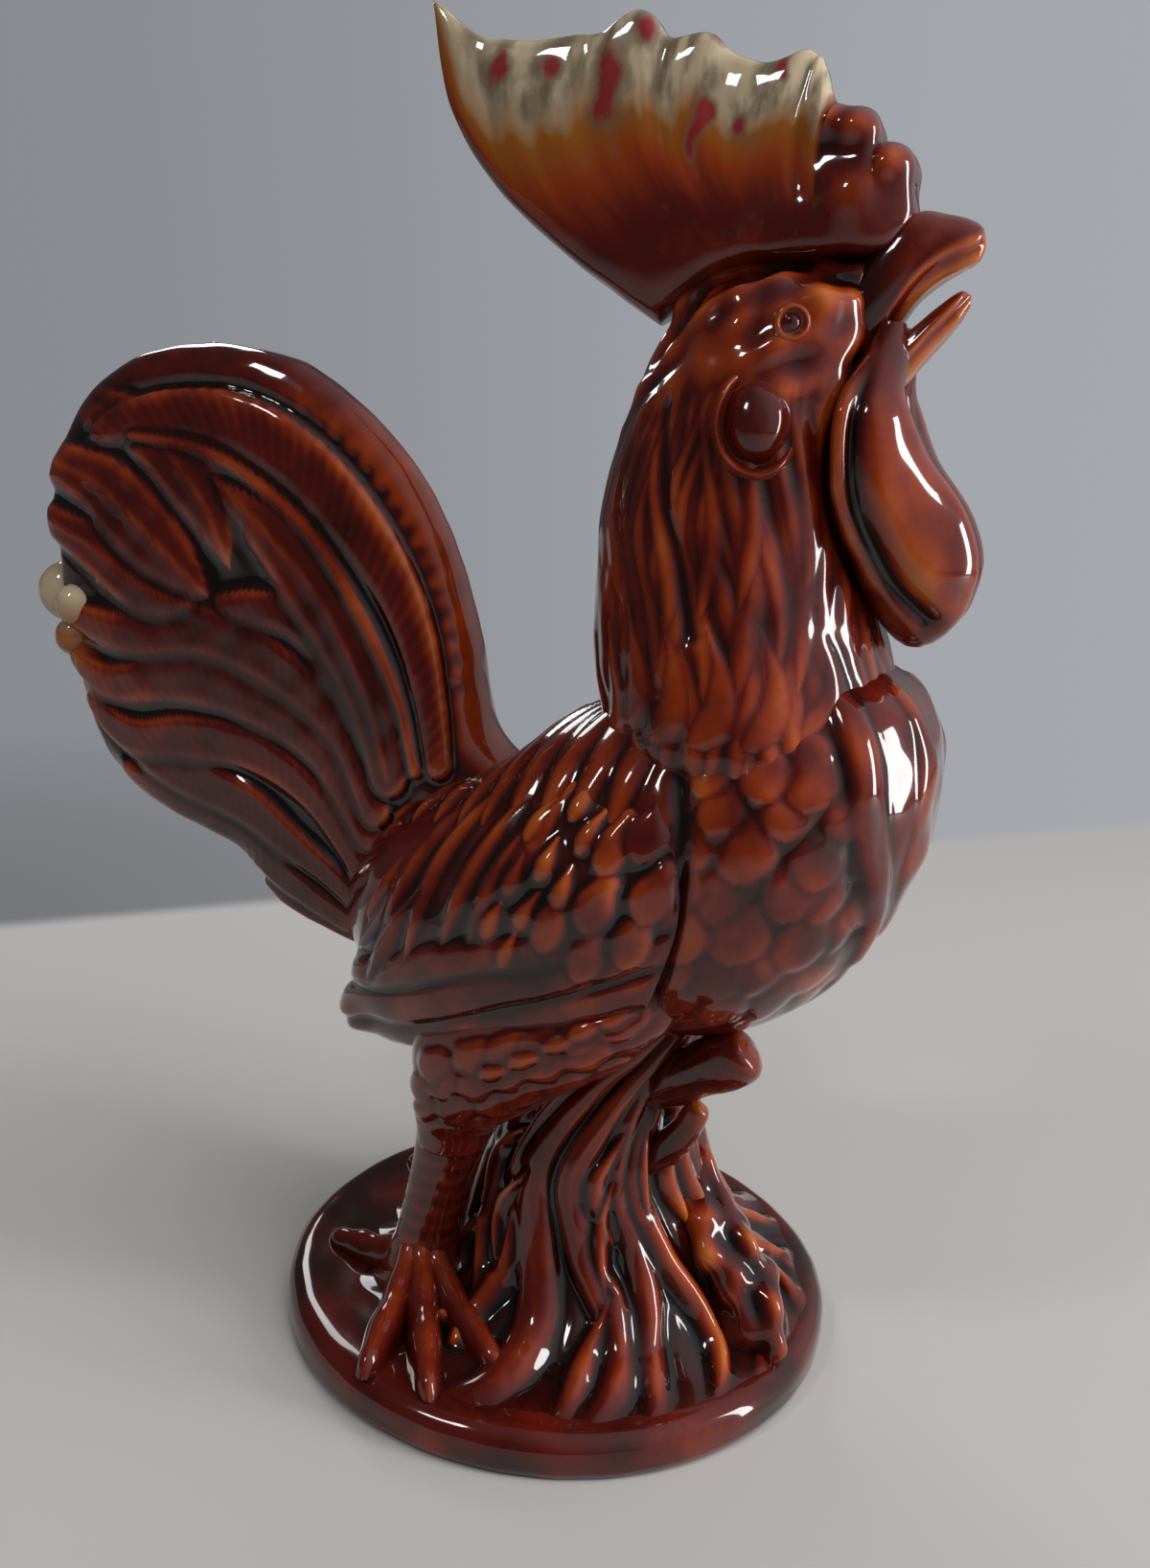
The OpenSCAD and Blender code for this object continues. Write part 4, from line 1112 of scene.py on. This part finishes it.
class ROOSTER_OT_comb(bpy.types.Operator):
    """Models the swept comb with its flutes and front lobes"""

    bl_idname = "rooster.comb"
    bl_label = "Comb"

    def execute(self, context):
        """A fin with the peaks of a cosine pressed in as flutes, and bells for lobes and red patches."""
        rings, across = 420, 110
        us = np.linspace(0, 1, rings)
        points, u, v = rings_fin(COMB_ROOT, COMB_TOP, COMB_FRONT, COMB_BACK, us, across, self.half)
        x, z = points[..., 0], points[..., 2]
        crown = ease(0.27, 0.33, u)
        flute = np.cos(TAU * (7.5 * u + 0.12 * np.sin(11 * u)))
        fold = Carving(x, z)
        fold.trough([(38, 266), (34, 255), (33, 246), (34, 240)], width=5, depth=0.9)
        relief = fold.height - crown * ease(0.45, 0.95, v) * 0.8 * ease(0.3, 1.0, flute)
        for lobe_x, lobe_z, radius in COMB_LOBES:
            relief += 3.0 * bell((x - lobe_x) / radius, (z - lobe_z) / radius)
        warp_x = x + 1.6 * ripple(points, 9, seed=71)
        warp_z = z + 2.4 * ripple(points, 12, seed=73)
        red = sum(bell((warp_x - red_x) / wide, (warp_z - red_z) / tall)
                  for red_x, red_z, wide, tall in COMB_RED)
        pale = v * crown - 0.3 * ease(0.955, 1.0, u)
        fire("comb", "comb_glaze", glazed(points, relief, bias=0.06, rise=v, run=u, pale=pale, red=red),
             finish="comb")
        return {"FINISHED"}

    def half(self, u, v):
        """Half thickness: from the root to the thin top, fuller in front, and rounded off at both ends."""
        edge = np.sqrt(1 - np.abs(2 * v - 1) ** 8)
        ends = np.sqrt(1 - u ** 12) * np.sqrt(1 - (1 - u) ** 12)
        return 0.6 + (19 * (1 - v) + 6.5 * v) / 2 * (1 + 0.5 * v * (1 - u) ** 3) * edge * ends


class ROOSTER_OT_beak(bpy.types.Operator):
    """Models the open beak's two halves"""

    bl_idname = "rooster.beak"
    bl_label = "Beak"

    def execute(self, context):
        """Superellipses along X, with ridges that are a cosine of the height above the underside."""
        for node, rows in BEAK_ROWS.items():
            points = rings_x(rows, steps=120, count=120, power=BEAK_ROUND)
            x, y, z = np.moveaxis(points, -1, 0)
            rise = z - z.min(axis=1, keepdims=True)
            ridge = 0.5 * np.cos(TAU * rise / 4.2) * ease(7, 3, rise) * ease(0.5, 2.5, np.abs(y))
            # Painted shade: darker towards the beak's root, in the recess where it meets the face
            root = -0.25 * ease(56, 49, x)
            # Painted highlight: a pale line along the lower edge towards the tip
            wear_and_highlight = 0.35 * ease(5, 1.5, rise) * ease(50, 57, x)
            fire(node, "beak_glaze", glazed(points, ridge, gain=0.5, bias=0.12 + root + wear_and_highlight))
        return {"FINISHED"}


class ROOSTER_OT_wattles(bpy.types.Operator):
    """Models the pear-shaped wattles with their rims"""

    bl_idname = "rooster.wattles"
    bl_label = "Wattles"

    def execute(self, context):
        """Ellipses up Z whose middle swings in to the neck, with a crease, a rim and a bead as bells."""
        rings, count = 160, 200
        z, back, front, half = sections(WATTLE_ROWS, eased(rings))
        a = angles(count, 0.5)
        x = (back + front) / 2 + (front - back) / 2 * np.cos(a)
        hug = -4 - 12.5 * ease(68, 43, x) * ease(160, 184, z) * ease(217, 199, z)
        points = grid(x, np.minimum(hug + half * np.sin(a), 0.3), z)
        carving = Carving(x, points[..., 2])
        carving.trough(list(zip(CREASE_X, CREASE_Z)), width=3.4, depth=2.4)
        inside = x - np.interp(z, CREASE_Z, CREASE_X)
        bead = 1.2 * np.exp(-((x - 65) ** 2 + (z - 174) ** 2) / 26)
        rim = 1.1 * bell((inside + 2.1) / 1.5)
        relief = (carving.height + bead + rim + 1.7 * ease(0, 6, inside)) * ease(0.2, -0.4, np.sin(a))
        relief *= ease(160, 169, z) * ease(212, 198, z)
        # Lighter behind the crease: partly the rim band's own paler glaze, partly painted light where shade
        # falls on it beside the neck
        fire_pair("wattle", "face_glaze", glazed(points, relief, bias=0.05 + 0.05 * ease(0.5, -1.5, inside)))
        return {"FINISHED"}


class ROOSTER_OT_face(bpy.types.Operator):
    """Models the ear lobes and eyes"""

    bl_idname = "rooster.face"
    bl_label = "Ear lobes and eyes"

    def execute(self, context):
        """Bosses on the right side and their mirror images."""
        lobe, reach = rings_boss((34, -21.2, 198), (8.5, 10.6), LOBE_PROFILE, steps=100, count=110,
                                 lean=0.16, crescent=3)
        fire_pair("ear_lobe", "face_glaze", glazed(lobe, bias=0.18 * ease(0.72, 0.86, reach)))
        eye, reach = rings_boss((37.4, -17.2, 215), (3.4, 3.4), EYE_PROFILE, steps=60, count=72)
        lid = 0.3 * bell((reach - 0.8) / 0.2)
        fire_pair("eye", "face_glaze", glazed(eye, bias=lid - 0.15 * ease(0.6, 0.3, reach)))
        return {"FINISHED"}


class ROOSTER_OT_stage(bpy.types.Operator):
    """Sets the floor, wall, lights and camera"""

    bl_idname = "rooster.stage"
    bl_label = "Stage"

    def execute(self, context):
        """Floor, lamps, light from all round and camera."""
        stage = context.scene.rooster_stage
        self.floor(stage)
        for name, (place, size, share, shines) in LAMPS.items():
            self.lamp(name, place, size, share * stage.window, shines)
        context.scene.world = self.world(stage)
        self.camera(context.scene)
        context.scene.view_settings.view_transform = "Standard"
        return {"FINISHED"}

    def world(self, stage):
        """Light from all round, strongest from one way; what the camera itself sees there is the wall."""
        world = bpy.data.worlds.new("studio")
        world.use_nodes = True
        back = world.node_tree.nodes["Background"]
        shade = Shade(world.node_tree)
        way = shade.place("Generated")
        light = SKY_LOW + shade.dot(way, SKY_WAY).step(0.1, 0.98) * SKY_MORE
        seen = shade.seen()
        level = seen * self.lighter(shade, way) + (1 - seen) * light
        (level * stage.sky).into(back, "Strength")
        back.inputs["Color"].default_value = (*stage.wall, 1)
        return world

    def lighter(self, shade, way):
        """How light the wall is in a direction out from the camera: more towards the window on the right."""
        way = shade.vector("NORMALIZE", way)
        return 0.79 + shade.dot(way, RIGHT).step(-0.39, 0.39) * 0.4

    def floor(self, stage):
        """A plain matt table top, and beyond the line where it meets the wall the wall's tone, with a
        painted shadow at its foot on the left and painted light towards the window on the right.
        """
        mesh = bpy.data.meshes.new("floor")
        corners = ((-1, -1), (1, -1), (1, 1), (-1, 1))
        mesh.from_pydata([(FLOOR_HALF * x, FLOOR_HALF * y, 0) for x, y in corners], [], [(0, 1, 2, 3)])
        material = bpy.data.materials.new("floor")
        material.use_nodes = True
        tree = material.node_tree
        shader = tree.nodes["Principled BSDF"]
        shader.inputs["Base Color"].default_value = (*stage.floor, 1)
        shader.inputs["Roughness"].default_value = 0.7
        shade = Shade(tree)
        where = shade.place()
        depth = shade.dot(where, WALL_WAY)
        along = shade.dot(where, ALONG_WALL)
        shadow = (1 - depth.step(0.28, 0.75)) * (1 - along.step(-0.3, 0.4)) * 0.6
        tone = shadow.tint((*stage.wall, 1), (*(0.4 * c for c in stage.wall), 1))
        strength = self.lighter(shade, shade.vector("SUBTRACT", where, EYE)) * stage.sky
        wall = shade.add("ShaderNodeEmission", {}, {"Color": tone, "Strength": strength})
        far = shade.vector("LENGTH", where, output="Value").step(0.8, 2.0)
        share = shade.maths("MAXIMUM", depth.step(*WALL_FOOT), shade.seen() * far)
        table = Shade(tree, shader.outputs[0])
        both = shade.add("ShaderNodeMixShader", {}, {0: share, 1: table, 2: wall})
        both.into(tree.nodes["Material Output"], "Surface")
        mesh.materials.append(material)
        sheet = bpy.data.objects.new("floor", mesh)
        bpy.context.scene.collection.objects.link(sheet)

    def lamp(self, name, place, size, power, shines):
        """An area light aimed at the middle of the figure, mirrored in the glaze or not."""
        light = bpy.data.lights.new(name, "AREA")
        light.shape = "RECTANGLE"
        light.size, light.size_y = size
        light.energy = power
        lamp = bpy.data.objects.new(name, light)
        lamp.matrix_world = looking(np.array(place), np.array(LAMPS_AIM) - place, (0, 0, 1))
        lamp.visible_glossy = shines
        bpy.context.scene.collection.objects.link(lamp)

    def camera(self, scene):
        """A camera at the photograph's angle: its place, aim and focal length."""
        view = bpy.data.cameras.new("camera")
        view.sensor_fit = "VERTICAL"
        view.sensor_height = SENSOR
        view.lens = SENSOR * FOCAL / PICTURE_HEIGHT
        view.clip_start = 0.01
        camera = bpy.data.objects.new("camera", view)
        camera.matrix_world = looking(np.array(EYE), np.array(AIM), UP)
        scene.collection.objects.link(camera)
        scene.camera = camera


def looking(place, aim, up):
    """Matrix of an object at a place whose -Z points along aim and whose Y is nearest up."""
    back = -aim / np.linalg.norm(aim)
    right = np.cross(up, back)
    right /= np.linalg.norm(right)
    above = np.cross(back, right)
    return Matrix([(right[k], above[k], back[k], place[k]) for k in range(3)] + [(0, 0, 0, 1)])


PIECES = (ROOSTER_OT_plinth, ROOSTER_OT_stump, ROOSTER_OT_legs, ROOSTER_OT_body, ROOSTER_OT_wings,
          ROOSTER_OT_tail, ROOSTER_OT_neck, ROOSTER_OT_comb, ROOSTER_OT_beak, ROOSTER_OT_wattles,
          ROOSTER_OT_face)


class ROOSTER_PT_panel(bpy.types.Panel):
    """Lists the figurine's pieces in the sidebar"""

    bl_idname = "ROOSTER_PT_panel"
    bl_label = "Ceramic Rooster"
    bl_space_type = "VIEW_3D"
    bl_region_type = "UI"
    bl_category = "Rooster"

    def draw(self, context):
        for operator in (*PIECES, ROOSTER_OT_stage):
            self.layout.operator(operator.bl_idname)
        for group in GROUPS:
            settings = getattr(context.scene, group)
            for key in settings.__annotations__:
                self.layout.prop(settings, key)


GROUPS = {"rooster_glaze": RoosterGlaze, "rooster_relief": RoosterRelief, "rooster_stage": RoosterStage}


def register():
    """Registers the classes and puts the settings on the scene."""
    for group in GROUPS.values():
        bpy.utils.register_class(group)
    for operator in (*PIECES, ROOSTER_OT_stage, ROOSTER_PT_panel):
        bpy.utils.register_class(operator)
    for name, group in GROUPS.items():
        setattr(bpy.types.Scene, name, bpy.props.PointerProperty(type=group))


def unregister():
    """Takes the settings and classes away again."""
    for name in GROUPS:
        delattr(bpy.types.Scene, name)
    for operator in (ROOSTER_PT_panel, ROOSTER_OT_stage, *reversed(PIECES)):
        bpy.utils.unregister_class(operator)
    for group in GROUPS.values():
        bpy.utils.unregister_class(group)


def main():
    """Builds every piece and the stage."""
    register()
    for operator in (*PIECES, ROOSTER_OT_stage):
        group, name = operator.bl_idname.split(".")
        getattr(getattr(bpy.ops, group), name)()


if __name__ == "__main__":
    main()
